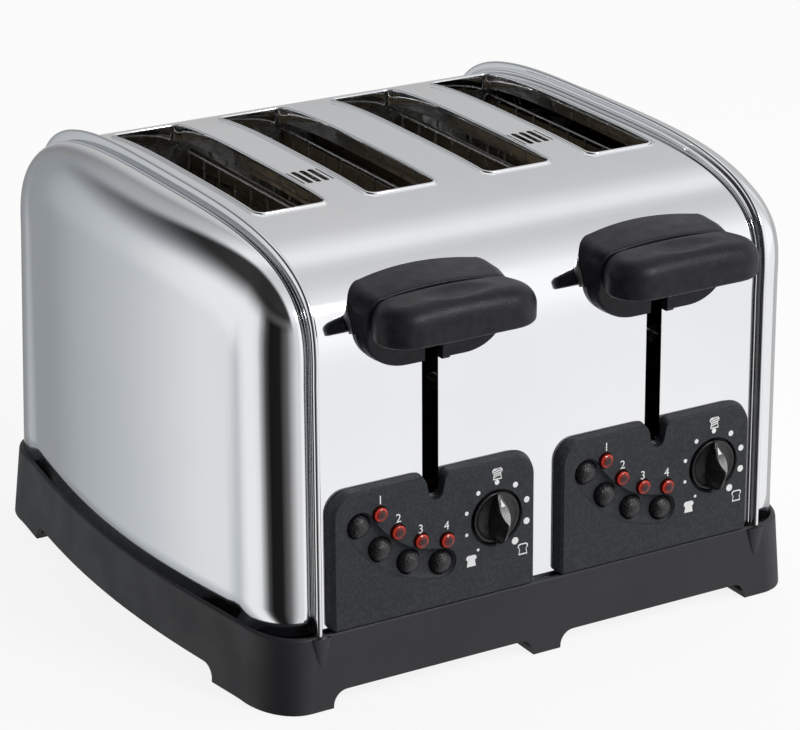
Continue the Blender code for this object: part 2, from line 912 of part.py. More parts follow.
def face_y(z):
    """The front face of the control panel at a height."""
    return skin_y(z) - panel_proud


knob_base_y = face_y(knob_z) + knob_well
board_back_y = board_front_y + board_thick
inner_proud = panel_proud - panel_wall

for side in (-1, 1):
    x = side * lever_x
    # Control panel
    side_share = 1 - panel_round / panel_side_draft
    edge_rise = panel_round * panel_edge_share
    stages = (
        (0, 0, fit_gap),
        (side_share, 0, panel_proud - panel_round),
        ((1 + side_share) / 2, edge_rise, panel_proud - edge_rise),
        (1, panel_round, panel_proud),
    )
    rings = [(panel_outline(x, share, lifted), proud) for share, lifted, proud in stages]
    panel = leaning(mirrored(side, "control_panel"), rings, panel_plastic)
    edges = (x - panel_left + pocket_side, x + pocket_left_end, x + panel_right - pocket_side)
    outline = stepped(*edges, panel_low_z + pocket_side, pocket_left_z, window_high_z)
    cut(panel, leaning("pocket", [(outline, -overrun), (outline, inner_proud)]))
    outline = crescent(x)
    rings = [(outline, panel_proud - recess_depth), (outline, panel_proud + overrun)]
    cut(panel, leaning("button_recess", rings))
    knob_middle = Vector((x + knob_x, 0, knob_z))
    front = Vector((0, face_y(0) - overrun, 0))
    back = Vector((0, skin_y(window_high_z) + overrun, 0))
    base_point = Vector((0, knob_base_y, 0))
    ring_radius = knob_radius + knob_ring
    well_ends = (knob_middle + front, knob_middle + base_point)
    cut(panel, rod("knob_well", *well_ends, ring_radius, sides=sides_fine))
    cut(panel, rod("shaft_hole", knob_middle + front, knob_middle + back, shaft_radius + fit_gap))
    for across, z in button_places:
        place = Vector((x + across, 0, z))
        cut(panel, rod("button_hole", place + front, place + back, button_radius + button_hole_gap))
    for across, z in lamp_places:
        place = Vector((x + across, 0, z))
        cut(panel, rod("lamp_hole", place + front, place + back, lamp_radius + fit_gap))
    board_z = (board_low_z + post_inset, board_high_z - post_inset)
    posts = [(x - board_half_x + post_inset, board_z[0]), (x + board_half_x - post_inset, board_z[0])]
    posts.append((x + board_half_x * post_upper_share, board_z[1]))
    for across, z in posts:
        start = (across, face_y(z) + panel_wall / 2, z)
        end = (across, board_front_y - fit_gap, z)
        join(panel, rod("board_post", start, end, post_radius))

    # Circuit board with the four button switches
    low = (x - board_half_x, board_front_y, board_low_z)
    high = (x + board_half_x, board_back_y, board_high_z)
    board = box(mirrored(side, "circuit_board"), low, high, board_green)
    spans = []
    for across, z in button_places:
        centre = Vector((x + across, 0, z))
        reach = Vector((switch_half, 0, switch_half))
        low = centre - reach + Vector((0, board_front_y - switch_depth, 0))
        high = centre + reach + Vector((0, board_back_y - board_thick / 2, 0))
        spans.append((low, high))
    join(board, boxes("switches", spans))

    # Potentiometer, soldered to the board's back with its bush through it
    bush_front = board_front_y - pot_bush_length
    pot_back = board_back_y + pot_depth
    shaft_end = board_back_y + pot_depth / 2
    profile = (
        (0, bush_front),
        (pot_bush_radius, bush_front),
        (pot_bush_radius, board_back_y - board_thick / 2),
        (pot_radius, board_back_y - board_thick / 2),
        (pot_radius, pot_back),
        (0, pot_back),
    )
    outline = [(radius, -y) for radius, y in profile]
    join(board, turned("potentiometer", outline, knob_middle, sides=sides_small))
    bore_front = knob_middle + Vector((0, bush_front - overrun, 0))
    bore_end = knob_middle + Vector((0, shaft_end + fit_gap, 0))
    cut(board, rod("shaft_bore", bore_front, bore_end, shaft_radius + fit_gap))

    # Browning knob, turning about the line of its shaft
    shaft_back = knob_base_y - shaft_end
    profile = (
        (0, knob_height),
        (knob_radius - knob_edge, knob_height),
        (knob_radius, knob_height - knob_edge),
        (knob_radius, fit_gap),
        (shaft_radius, fit_gap),
        (shaft_radius, shaft_back),
        (0, shaft_back),
    )
    knob_centre = knob_middle + base_point
    knob = turned(mirrored(side, "browning_knob"), profile, knob_centre, grip_plastic)
    rings = []
    for along, foot, crest, height in fin_shares:
        z = knob_centre.z + along * knob_radius
        foot_y = knob_centre.y - knob_height + knob_edge
        top_y = knob_centre.y - knob_height - fin_reach * height
        ring = []
        for way in (-1, 1):
            corners = [
                (knob_centre.x + way * foot * fin_half, foot_y, z),
                (knob_centre.x + way * (foot + crest) / 2 * fin_half, (foot_y + top_y) / 2, z),
                (knob_centre.x + way * crest * fin_half, top_y, z),
            ]
            ring += corners if way < 0 else reversed(corners)
        rings.append(ring)
    join(knob, loft("knob_fin", rings))

    # Push buttons, each pressed towards the board
    for number, (across, z) in enumerate(button_places, 1):
        place = Vector((x + across, face_y(z), z))
        flange_front = inner_proud - panel_proud - fit_gap
        flange_back = flange_front - button_flange_thick
        stem_end = place.y - board_front_y + switch_depth + button_travel + fit_gap
        profile = (
            (0, button_proud),
            *[(button_radius * wide, button_proud - button_dome * (1 - high)) for wide, high in dome_shares],
            (button_radius, button_proud - button_dome),
            (button_radius, flange_front),
            (button_radius + button_flange, flange_front),
            (button_radius + button_flange, flange_back),
            (button_stem_radius, flange_back),
            (button_stem_radius, stem_end),
            (0, stem_end),
        )
        turned(
            mirrored(side, "button_" + str(number)), profile, place, grip_plastic, sides_small
        )

    # Light guide: four red lenses on one bar behind the panel
    middles = []
    lenses = []
    for across, z in lamp_places:
        place = Vector((x + across, face_y(z), z))
        profile = (
            (0, lamp_proud + lamp_dome),
            *[(lamp_radius * wide, lamp_proud + lamp_dome * high) for wide, high in dome_shares],
            (lamp_radius, lamp_proud),
            (lamp_radius, lamp_bar_proud - panel_proud - lamp_bar_radius),
            (0, lamp_bar_proud - panel_proud - lamp_bar_radius),
        )
        middles.append(place + Vector((0, panel_proud - lamp_bar_proud, 0)))
        finish = None if lenses else lamp_red
        name = "lens" if lenses else mirrored(side, "light_guide")
        lenses.append(turned(name, profile, place, finish, sides_small))
    join(lenses[0], *lenses[1:])
    for start, end in zip(middles, middles[1:]):
        join(lenses[0], rod("light_bar", start, end, lamp_bar_radius, sides=lamp_bar_sides))


def tabbed(near, far, low, high, tab_zs, reach):
    """Outline (y, z) of an upright plate with tabs at both ends."""
    outline = [(near, low), (far, low)]
    for tab_low, tab_high in tab_zs:
        outline += [(far, tab_low), (far + reach, tab_low), (far + reach, tab_high), (far, tab_high)]
    outline += [(far, high), (near, high)]
    for tab_low, tab_high in reversed(tab_zs):
        outline += [(near, tab_high), (near - reach, tab_high), (near - reach, tab_low), (near, tab_low)]
    return outline


def hood_outline(x, half, side_z, crown, corner):
    """The hood's upper block seen from the front."""
    right = [(half, hood_low_z)]
    for i in range(round_steps + 1):
        angle = math.pi / 2 * i / round_steps
        across = half - corner * (1 - math.cos(angle))
        right.append((across, side_z - corner * (1 - math.sin(angle))))
    right += [(half * share, side_z + crown * rise) for share, rise in hood_crown_shares]
    return [(x + across, z) for across, z in right] + [(x - across, z) for across, z in reversed(right)]


def skirt_outline(x, half):
    """The hood's skirt seen from the front: a flat bottom with wide round corners."""
    right = [(skirt_flat_half, skirt_z)]
    reach = half - skirt_flat_half
    for i in range(1, 2 * round_steps + 1):
        angle = math.pi / 2 * i / (2 * round_steps)
        across = skirt_flat_half + reach * math.sin(angle)
        right.append((across, skirt_z + skirt_corner_z * (1 - math.cos(angle))))
    right.append((half, hood_low_z + overlap))
    return [(x + across, z) for across, z in right] + [(x - across, z) for across, z in reversed(right)]


def facing(outline, y):
    return [(x, y, z) for x, z in outline]


def grip_ring(x, inset, rear_inset, height):
    """The grip's plan outline, drawn in, with height(x) above the floor."""
    wide, deep = grip_corner_x - inset, grip_middle_y - grip_front_y - inset
    half = grip_half_middle - inset
    right = [(grip_half_rear - inset, grip_rear_y - rear_inset)]
    for i in range(round_steps + 2):
        angle = math.pi / 2 * i / (round_steps + 1)
        across = half - wide * (1 - math.cos(angle))
        right.append((across, grip_front_y + inset + deep * (1 - math.sin(angle))))
    outline = right + [(-across, y) for across, y in reversed(right)]
    return [(x + across, y, height(across)) for across, y in outline]


def grip_top(across):
    return grip_top_z - grip_crown * (across / grip_crown_half) ** 2


chassis_top = chassis_z + chassis_thick
floor_z = chassis_top + fit_gap
arm_rear_y = arm_drop_y + arm_drop_depth
body_space = arch_block("body_space", hood_seat_gap)

for side in (-1, 1):
    x = side * lever_x
    # Fixed hood over the top of the lever slot, hollow behind
    rear_side_rise = hood_side_rear_z - hood_side_z
    middle_share = (hood_reach - hood_middle_reach) / (hood_reach - hood_rear_reach)
    stages = (
        (hood_reach, hood_half_front - hood_edge, -hood_edge, hood_crown, hood_corner),
        (hood_reach - hood_edge, hood_half_front, 0, hood_crown, hood_corner),
        (hood_middle_reach, hood_half_middle, rear_side_rise * middle_share, hood_crown, hood_corner),
        (hood_rear_reach, hood_half_rear, rear_side_rise, hood_crown_rear, hood_corner_rear),
    )
    rings = []
    for reach, half, rise, crown, corner in stages:
        rings.append(facing(hood_outline(x, half, hood_side_z + rise, crown, corner), -half_depth - reach))
    hood = loft(mirrored(side, "lever_hood"), rings, grip_plastic)
    rings = [
        facing(skirt_outline(x, skirt_half_front), skirt_front_y),
        facing(skirt_outline(x, skirt_half_front + skirt_edge), skirt_front_y + skirt_edge),
        facing(skirt_outline(x, skirt_half_rear), -half_depth + overrun),
    ]
    join(hood, loft("hood_skirt", rings))
    hollow_half = skirt_half_front - hood_wall
    rear_y = -half_depth - hood_rear_reach + overrun
    low = (x - skirt_flat_half, skirt_front_y + hood_wall, skirt_z + hood_wall)
    high = (x + skirt_flat_half, rear_y, hood_notch_high_z)
    cut(hood, box("hood_hollow", low, high))
    low = (x - hollow_half, skirt_front_y + hood_wall, hood_low_z + hood_wall)
    high = (x + hollow_half, rear_y, hood_side_z - hood_wall)
    cut(hood, box("hood_wings", low, high))
    low = (x - hood_slot_half, hood_front_y - overrun, hood_notch_low_z)
    high = (x + hood_slot_half, rear_y, hood_notch_high_z)
    cut(hood, box("hood_notch", low, high))
    cut(hood, body_space)

    # Lever grip
    middle_inset = grip_middle_share * grip_depth
    rings = [
        grip_ring(x, grip_edge / 2, grip_edge / 2, lambda _: grip_low_z),
        grip_ring(x, 0, 0, lambda _: grip_low_z + grip_edge),
    ]
    for i in range(round_steps + 2):
        angle = math.pi / 2 * i / (round_steps + 1)
        inset = grip_round * (1 - math.cos(angle))
        drop = grip_round * (1 - math.sin(angle))
        rings.append(grip_ring(x, inset, inset * grip_rear_share, lambda across: grip_top(across) - drop))
    rings.append(grip_ring(x, middle_inset, middle_inset, grip_top))
    grip = loft(mirrored(side, "lever_grip"), rings, grip_plastic)
    bm = bmesh.new()
    bmesh.ops.create_uvsphere(bm, u_segments=16, v_segments=8, radius=1)
    bmesh.ops.scale(bm, vec=(dish_half_x, dish_half_y, thumb_dish), verts=bm.verts)
    bmesh.ops.translate(bm, vec=(x, dish_y, grip_top_z), verts=bm.verts)
    cut(grip, solid("thumb_dish", bm))
    low = (x - arm_half - fit_gap, arm_tip_y - fit_gap, arm_low_z - fit_gap)
    high = (x + arm_half + fit_gap, grip_rear_y + overrun, arm_high_z + fit_gap)
    cut(grip, box("arm_socket", low, high))

    # Carriage with its arm, hub and armature
    low = (x - carriage_half_x, carriage_front_y, carriage_z)
    high = (x + carriage_half_x, carriage_rear_y, carriage_z + armature_thick)
    carriage = box(mirrored(side, "carriage"), low, high, steel)
    low = (x - carriage_half_x, carriage_rear_y - armature_thick, carriage_z + overlap)
    flange = box("flange", low, (high[0], carriage_rear_y, carriage_z + carriage_height))
    arm_outline = (
        (arm_tip_y, arm_low_z),
        (arm_drop_y, arm_low_z),
        (arm_drop_y, carriage_z),
        (arm_rear_y, carriage_z),
        (arm_rear_y, arm_high_z),
        (arm_tip_y, arm_high_z),
    )
    arm = prism("arm", arm_outline, "yz", x - arm_half, x + arm_half)
    hub_low = (x, rod_y, carriage_z - hub_high)
    hub_top = (x, rod_y, carriage_z + hub_high)
    magnet_x = x + magnet_offset_x
    low = (magnet_x - armature_half_x, carriage_front_y, carriage_z - armature_thick)
    high = (magnet_x + armature_half_x, rod_y - hub_radius, carriage_z + overlap)
    join(carriage, flange, arm, rod("hub", hub_low, hub_top, hub_radius), box("armature", low, high))
    bore_low = (x, rod_y, carriage_z - hub_high - overrun)
    bore_top = (x, rod_y, carriage_z + hub_high + overrun)
    cut(carriage, rod("hub_bore", bore_low, bore_top, rod_radius + rod_bore_gap))

    # Guide rod, and the spring round it that lifts the carriage
    rod(mirrored(side, "guide_rod"), (x, rod_y, floor_z), (x, rod_y, rod_high_z), rod_radius, steel)
    spring_low = floor_z + spring_wire
    spring_high = carriage_z - hub_high - fit_gap - spring_wire
    curve = bpy.data.curves.new("lift_spring", "CURVE")
    curve.dimensions = "3D"
    curve.bevel_depth = spring_wire
    curve.bevel_resolution = 1
    curve.use_fill_caps = True
    count = spring_turns * spring_points + 1
    spline = curve.splines.new("POLY")
    spline.points.add(count - 1)
    for i, point in enumerate(spline.points):
        angle = 2 * math.pi * i / spring_points
        z = spring_low + (spring_high - spring_low) * i / (count - 1)
        across = x + spring_radius * math.cos(angle)
        point.co = (across, rod_y + spring_radius * math.sin(angle), z, 1)
    spring = bpy.data.objects.new(mirrored(side, "lift_spring"), curve)
    spring.parent = toaster
    curve.materials.append(bpy.data.materials["guide_rod_left"])
    pieces.objects.link(spring)
    spring_pitch = (spring_high - spring_low) / spring_turns
    print("least gap between the spring's turns", spring_pitch - 2 * spring_wire)

    # Magnet that holds the lowered carriage
    carriage_low_z = carriage_z - armature_thick - lever_travel
    half_y = magnet_depth / 2
    low = (magnet_x - magnet_half_x, magnet_y - half_y, floor_z)
    high = (magnet_x + magnet_half_x, magnet_y + half_y, magnet_low_z)
    magnet = box(mirrored(side, "magnet"), low, high, steel)
    coil_low = (magnet_x, magnet_y, magnet_low_z - overlap)
    coil_top = (magnet_x, magnet_y, carriage_low_z - half_y)
    join(magnet, rod("coil", coil_low, coil_top, half_y, sides=sides_fine // 2))
    low = (magnet_x - magnet_half_x / 2, magnet_y - half_y / 2, carriage_low_z - half_y - overlap)
    high = (magnet_x + magnet_half_x / 2, magnet_y + half_y / 2, carriage_low_z - fit_gap)
    join(magnet, box("pole", low, high))

# Chassis plate under the ledge, open over each crumb tray
outline = [(x, y) for x, y, _ in plan(flare(chassis_z) - base_wall - slide_gap, 0)]
windows = []
for side in (-1, 1):
    edges = sorted((side * tray_inner_x, side * tray_outer_x))
    windows.append(rectangle(*edges, slot_front_y, slot_rear_y, slot_corner))
plate("chassis", [outline, *windows], "xy", chassis_z, chassis_top, steel)

# Front and rear walls of the toasting chamber, slotted for racks, cards and guides
card_inner_y = front_wall_y + wall_thick / 2 + fit_gap
card_outer_y = rear_wall_y - wall_thick / 2 - fit_gap
card_tab_zs = ((card_low_z + card_tab_rise, card_low_z + 2 * card_tab_rise),)
card_tab_zs += ((card_high_z - 2 * card_tab_rise, card_high_z - card_tab_rise),)
guide_tab_zs = ((guide_tab_low_z, guide_tab_low_z + guide_tab_height),)
guide_tab_zs += ((guide_tab_up_z, guide_tab_up_z + guide_tab_height),)
slot_middle = (slot_inner_x + slot_outer_x) / 2
card_xs = (slot_inner_x - card_offset, slot_middle, slot_outer_x + card_offset)
card_places = sorted(side * x for side in (-1, 1) for x in card_xs)
holes = []
for x in card_places:
    half = card_thick / 2 + fit_gap
    for low, high in card_tab_zs:
        holes.append((x - half, x + half, low - fit_gap, high + fit_gap))
for x in slot_centres:
    left, right = x - rack_slot_half, x + rack_slot_half
    holes.append((left, right, rack_slot_low_z, rack_slot_high_z))
    for way in (-1, 1):
        near = x + way * (guide_open - guide_travel - guide_thick / 2 - slide_gap)
        far = x + way * (guide_open + guide_thick / 2 + slide_gap)
        for low, high in guide_tab_zs:
            holes.append((*sorted((near, far)), low - slide_gap, high + slide_gap))
for name, y in (("front_wall", front_wall_y), ("rear_wall", rear_wall_y)):
    near, far = y - wall_thick / 2, y + wall_thick / 2
    wall = box(name, (-wall_half_x, near, floor_z), (wall_half_x, far, wall_high_z), steel)
    spans = []
    for left, right, low, high in holes:
        spans.append(((left, near - wall_thick, low), (right, far + wall_thick, high)))
    cut(wall, boxes("wall_slots", spans))
    if name == "rear_wall":
        continue
    for side in (-1, 1):
        x = side * lever_x
        low = (x - bracket_half_x, bracket_front_y, bracket_z)
        high = (x + bracket_half_x, front_wall_y, bracket_z + wall_thick)
        join(wall, box("rod_bracket", low, high))
        hole_low = (x, rod_y, bracket_z - overrun)
        hole_top = (x, rod_y, bracket_z + overrun)
        cut(wall, rod("rod_hole", hole_low, hole_top, rod_radius + fit_gap))

# Heater cards: mica sheets with bands of ribbon, held by tabs in the walls
for number, x in enumerate(card_places, 1):
    tab = wall_thick + fit_gap + card_tab
    outline = tabbed(card_inner_y, card_outer_y, card_low_z, card_high_z, card_tab_zs, tab)
    low, high = x - card_thick / 2, x + card_thick / 2
    card = prism("heater_card_" + str(number), outline, "yz", low, high, mica)
    spans = []
    for i in range(card_bar_count):
        z = card_low_z + (card_high_z - card_low_z) * (i + 1) / (card_bar_count + 1)
        low = (x - card_thick / 2 - ribbon_proud, card_inner_y + card_tab, z - ribbon_half)
        high = (x + card_thick / 2 + ribbon_proud, card_outer_y - card_tab, z + ribbon_half)
        spans.append((low, high))
    join(card, boxes("ribbon", spans))

# Bread racks and the guides that close on the bread
slot_names = ("1", "2", "3", "4")
for name, x in zip(slot_names, sorted(slot_centres)):
    low_y, high_y = card_inner_y + card_tab, rack_rear_y
    outline = rectangle(x - rack_half_width, x + rack_half_width, low_y, high_y)
    windows = []
    length = (high_y - low_y - rack_bar) / rack_cross_count
    for i in range(rack_cross_count):
        start = low_y + rack_bar + i * length
        left, right = x - rack_half_width + rack_bar, x + rack_half_width - rack_bar
        windows.append(rectangle(left, right, start, start + length - rack_bar))
    top = rack_z + rack_thick
    rack = plate("bread_rack_" + name, [outline, *windows], "xy", rack_z, top, steel)
    neck_top = rack_z + rack_neck_height
    low = (x - rack_neck_half, carriage_rear_y + fit_gap, rack_z + overlap)
    front_neck = box("front_neck", low, (x + rack_neck_half, low_y + rack_neck_reach, neck_top))
    low = (x - rack_neck_half, high_y - rack_neck_reach, rack_z + overlap)
    high = (x + rack_neck_half, rear_wall_y + wall_thick + card_tab, neck_top)
    join(rack, front_neck, box("rear_neck", low, high))
    for way, which in ((-1, "left"), (1, "right")):
        middle = x + way * guide_open
        low, high = middle - guide_thick / 2, middle + guide_thick / 2
        near_y, guide_far_y = card_inner_y + slide_gap, card_outer_y - slide_gap
        reach = wall_thick + slide_gap + card_tab
        outline = tabbed(near_y, guide_far_y, guide_low_z, guide_high_z, guide_tab_zs, reach)
        windows = []
        pitch = (guide_far_y - near_y - guide_frame * 2 + guide_bar) / guide_bar_count
        for i in range(guide_bar_count):
            start = near_y + guide_frame + i * pitch
            low_z, high_z = guide_low_z + guide_frame, guide_high_z - guide_frame
            windows.append(rectangle(start, start + pitch - guide_bar, low_z, high_z))
        plate("bread_guide_" + name + "_" + which, [outline, *windows], "yz", low, high, steel)

# Bottom plate with a pair of rails under each crumb tray
outline = [(x, y) for x, y, _ in plan(flare(bottom_z) - base_wall - bottom_inset, 0)]
bottom_top = bottom_z + bottom_thick
bottom = prism("bottom_plate", outline, "xy", bottom_z, bottom_top, steel)
rail_back = tray_rear_y - base_corner_y / 2
for side in (-1, 1):
    spans = []
    for edge, way in ((tray_inner_x, -1), (tray_outer_x, 1)):
        across = sorted((side * (edge - way * rail_shelf), side * (edge + way * (slide_gap + rail_thick))))
        low = (across[0], tray_front_y, bottom_top - overlap)
        spans.append((low, (across[1], rail_back, tray_low_z - fit_gap)))
        across = sorted((side * (edge + way * slide_gap), side * (edge + way * (slide_gap + rail_thick))))
        low = (across[0], tray_front_y, tray_low_z - fit_gap - overlap)
        spans.append((low, (across[1], rail_back, tray_low_z + rail_height)))
    join(bottom, boxes("rail_shelves", spans[::2]), boxes("rail_sides", spans[1::2]))

# Crumb trays, drawn out through the base's rear
tray_top = tray_low_z + tray_height
for side in (-1, 1):
    edges = sorted((side * tray_inner_x, side * tray_outer_x))
    low, high = (edges[0], tray_front_y, tray_low_z), (edges[1], tray_rear_y, tray_top)
    tray = box(mirrored(side, "crumb_tray"), low, high, steel)
    low = (edges[0] + tray_wall, tray_front_y + tray_wall, tray_low_z + tray_wall)
    high = (edges[1] - tray_wall, tray_rear_y - tray_wall, tray_top + overrun)
    cut(tray, box("tray_hollow", low, high))
    low = (edges[0] - tray_lip, tray_rear_y - overlap, tray_low_z)
    high = (edges[1] + tray_lip, tray_face_y, tray_top + tray_lip)
    middle = (edges[0] + edges[1]) / 2
    handle_low = (middle - tray_handle_grip, tray_face_y - overlap, tray_low_z + tray_lip)
    handle_top = (middle + tray_handle_grip, tray_handle_y, tray_low_z + tray_lip + tray_handle_thick)
    join(tray, box("tray_face", low, high), box("tray_handle", handle_low, handle_top))
    gap = slide_gap + tray_lip
    low = (edges[0] - gap, tray_rear_y - base_wall * 2, tray_low_z - slide_gap)
    high = (edges[1] + gap, far_y, tray_top + gap)
    cut(base, box("tray_mouth", low, high))

# Bush for the mains lead, snapped into the base's rear
rear_face_y = base_half_depth + flare(inlet_z)
flange_y = rear_face_y + fit_gap + inlet_flange_gap
inner_y = base_half_depth - base_wall - inlet_flange_gap
tip_y = rear_face_y - inlet_length
profile = (
    (inlet_bore, tip_y),
    (inlet_tip_radius, tip_y),
    (inlet_radius, tip_y + inlet_length / 2),
    (inlet_radius, inner_y - inlet_flange_thick),
    (inlet_radius + inlet_snap, inner_y - inlet_flange_thick),
    (inlet_radius + inlet_snap, inner_y),
    (inlet_radius, inner_y),
    (inlet_radius, flange_y),
    (inlet_flange, flange_y),
    (inlet_flange, flange_y + inlet_flange_thick),
    (inlet_bore, flange_y + inlet_flange_thick),
    (inlet_bore, tip_y),
)
outline = [(radius, -y) for radius, y in profile]
turned("cord_bush", outline, (0, 0, inlet_z), grip_plastic)
hole_start = (0, rear_face_y - base_wall * 2, inlet_z)
hole_radius = inlet_radius + fit_gap
cut(base, rod("cord_hole", hole_start, (0, far_y, inlet_z), hole_radius, sides=sides_fine))
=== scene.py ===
"""Looks of the bagel toaster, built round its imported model. Metres, +Z up, the controls face -Y."""

import math

import bmesh
import bpy
from mathutils import Matrix, Vector


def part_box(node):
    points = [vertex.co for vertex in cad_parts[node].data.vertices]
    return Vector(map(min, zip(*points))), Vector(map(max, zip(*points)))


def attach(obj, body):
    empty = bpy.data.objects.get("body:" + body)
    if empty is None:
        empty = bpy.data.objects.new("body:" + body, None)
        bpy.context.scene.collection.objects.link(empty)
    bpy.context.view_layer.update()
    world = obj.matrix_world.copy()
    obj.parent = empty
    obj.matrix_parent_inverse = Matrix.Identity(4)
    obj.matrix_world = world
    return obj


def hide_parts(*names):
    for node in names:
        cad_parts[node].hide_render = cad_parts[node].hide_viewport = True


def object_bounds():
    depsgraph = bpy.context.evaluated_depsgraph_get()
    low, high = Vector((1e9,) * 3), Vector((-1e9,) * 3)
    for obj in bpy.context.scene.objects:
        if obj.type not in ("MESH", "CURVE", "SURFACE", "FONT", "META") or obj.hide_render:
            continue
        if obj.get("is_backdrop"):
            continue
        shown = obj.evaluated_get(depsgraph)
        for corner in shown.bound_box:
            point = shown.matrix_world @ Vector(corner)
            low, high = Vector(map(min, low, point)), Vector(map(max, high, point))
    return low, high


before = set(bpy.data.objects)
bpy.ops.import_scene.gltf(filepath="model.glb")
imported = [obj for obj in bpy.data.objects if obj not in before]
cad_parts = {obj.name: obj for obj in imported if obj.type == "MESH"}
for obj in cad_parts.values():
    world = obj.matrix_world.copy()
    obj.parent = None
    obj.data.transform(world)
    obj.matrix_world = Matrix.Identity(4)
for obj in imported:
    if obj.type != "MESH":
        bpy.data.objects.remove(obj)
cad_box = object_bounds()

# Camera: a long lens, a little to the left of the front and above the toaster. Its angles, distance
# and focal length were solved from the outlines in the picture, which is 800 pixels wide.
azimuth = math.radians(-31.908)
elevation = math.radians(21.367)
roll = math.radians(0.794)
focal_px = 3295.2
picture_px = 800
camera_distance = 1.5870
camera_aside = Vector((0.00433, 0.00125, 0))
aim = Vector((0, 0.01156, 0.0923))


def placed(name, data):
    """A new object in the scene."""
    item = bpy.data.objects.new(name, data)
    bpy.context.scene.collection.objects.link(item)
    return item


camera = placed("camera", bpy.data.cameras.new("camera"))
camera_turn = (
    Matrix.Rotation(azimuth, 4, "Z")
    @ Matrix.Rotation(math.pi / 2 - elevation, 4, "X")
    @ Matrix.Rotation(roll, 4, "Z")
)
camera_place = aim + camera_turn.to_3x3() @ (camera_aside + Vector((0, 0, camera_distance)))
camera.matrix_world = Matrix.Translation(camera_place) @ camera_turn
camera.data.sensor_width = 36
camera.data.lens = focal_px * camera.data.sensor_width / picture_px
bpy.context.scene.camera = camera
bpy.context.scene.view_settings.view_transform = "Standard"

# Studio: a white floor that the toaster stands on, with a dark wall to the left of the camera and a
# softly graded room above. The chrome sees the room's tones, and the camera sees plain white.
room_strength = 0.62
floor_half = 4.0
cool_end = 0.11
cool_least = 0.5
cool_tint = 0.06
over_start = 0.20
floor_white = 0.86
floor_tone = 0.80
# How far directions lean up, forward right and leftward where one part of the room passes into another
overhead_rise = (0.30, 0.85)
front_right_turn = (0.10, 0.36)
dark_wall_turn = (-0.05, -0.25)
dark_wall_rise = (0.15, 0.66)
dark_wall_share = 0.96
fill_turn = (-0.7, 0.2)
fill_shares = (0.25, 1.1)
fill_colour = (0.97, 0.985, 1, 1)
# Tones round the toaster, from the rear by the left, the front and the right to the rear again
round_tones = (
    (0.000, 0.300), (0.030, 0.330), (0.050, 0.440), (0.068, 0.500), (0.088, 0.570),
    (0.102, 0.640), (0.114, 0.720), (0.124, 0.800), (0.150, 0.910), (0.190, 0.910),
    (0.215, 0.820), (0.236, 0.380), (0.260, 0.070), (0.285, 0.010), (0.350, 0.012),
    (0.410, 0.140), (0.450, 0.420), (0.495, 0.720), (0.540, 0.760), (0.588, 0.950),
    (0.680, 0.900), (0.760, 0.700), (0.840, 0.230), (0.900, 0.060), (1.000, 0.300),
)
# Tones overhead, from the floor in front over the horizon and the top to the horizon behind
over_tones = (
    (0.000, 0.930), (0.090, 0.940), (0.152, 1.060), (0.184, 1.090), (0.268, 1.090),
    (0.330, 1.060), (0.402, 1.000), (0.454, 0.890), (0.517, 0.790), (0.570, 0.710),
    (0.614, 0.670), (0.650, 0.655), (0.686, 0.710), (0.722, 0.885), (0.748, 0.900),
    (0.774, 0.790), (0.792, 0.710), (0.810, 0.630), (0.828, 0.610), (1.000, 0.500),
)


class Nodes:
    """A node tree to which nodes are added by type, with their settings and their sockets."""

    def __init__(self, tree):
        self.tree = tree
        tree.nodes.clear()

    def add(self, kind, inputs=None, **settings):
        node = self.tree.nodes.new(kind)
        for name, value in settings.items():
            setattr(node, name, value)
        for socket, value in (inputs or {}).items():
            if isinstance(value, bpy.types.NodeSocket):
                self.tree.links.new(value, node.inputs[socket])
            else:
                node.inputs[socket].default_value = value
        return node

    def math(self, operation, *values):
        return self.add("ShaderNodeMath", dict(enumerate(values)), operation=operation).outputs[0]

    def ramp(self, value, stops):
        node = self.add("ShaderNodeValToRGB", {"Fac": value})
        elements = node.color_ramp.elements
        while len(elements) < len(stops):
            elements.new(1)
        for element, (place, tone) in zip(elements, stops):
            element.position = place
            element.color = tone if isinstance(tone, tuple) else (tone, tone, tone, 1)
        return node.outputs[0]

    def span(self, value, low, high, first=0, last=1):
        inputs = {"Value": value, "From Min": low, "From Max": high, "To Min": first, "To Max": last}
        return self.add("ShaderNodeMapRange", inputs, interpolation_type="SMOOTHSTEP").outputs[0]

    def mix(self, share, first, last):
        inputs = {"Factor": share, 6: first, 7: last}
        return self.add("ShaderNodeMix", inputs, data_type="RGBA").outputs[2]

    def blend(self, share, first, last):
        return self.add("ShaderNodeMixShader", {0: share, 1: first, 2: last}).outputs[0]

    def rays(self):
        """Which rays come straight through to the camera, and which by a reflection."""
        seen = self.add("ShaderNodeLightPath").outputs
        straight = self.math("MAXIMUM", seen["Is Camera Ray"], seen["Is Transmission Ray"])
        return straight, seen["Is Glossy Ray"]


def turn_share(nodes, x, y):
    """Where a direction lies round the toaster, from 0 at the rear by the left and front to 1."""
    turn = nodes.math("ARCTAN2", x, nodes.math("MULTIPLY", y, -1))
    return nodes.math("MULTIPLY_ADD", turn, 0.5 / math.pi, 0.5)


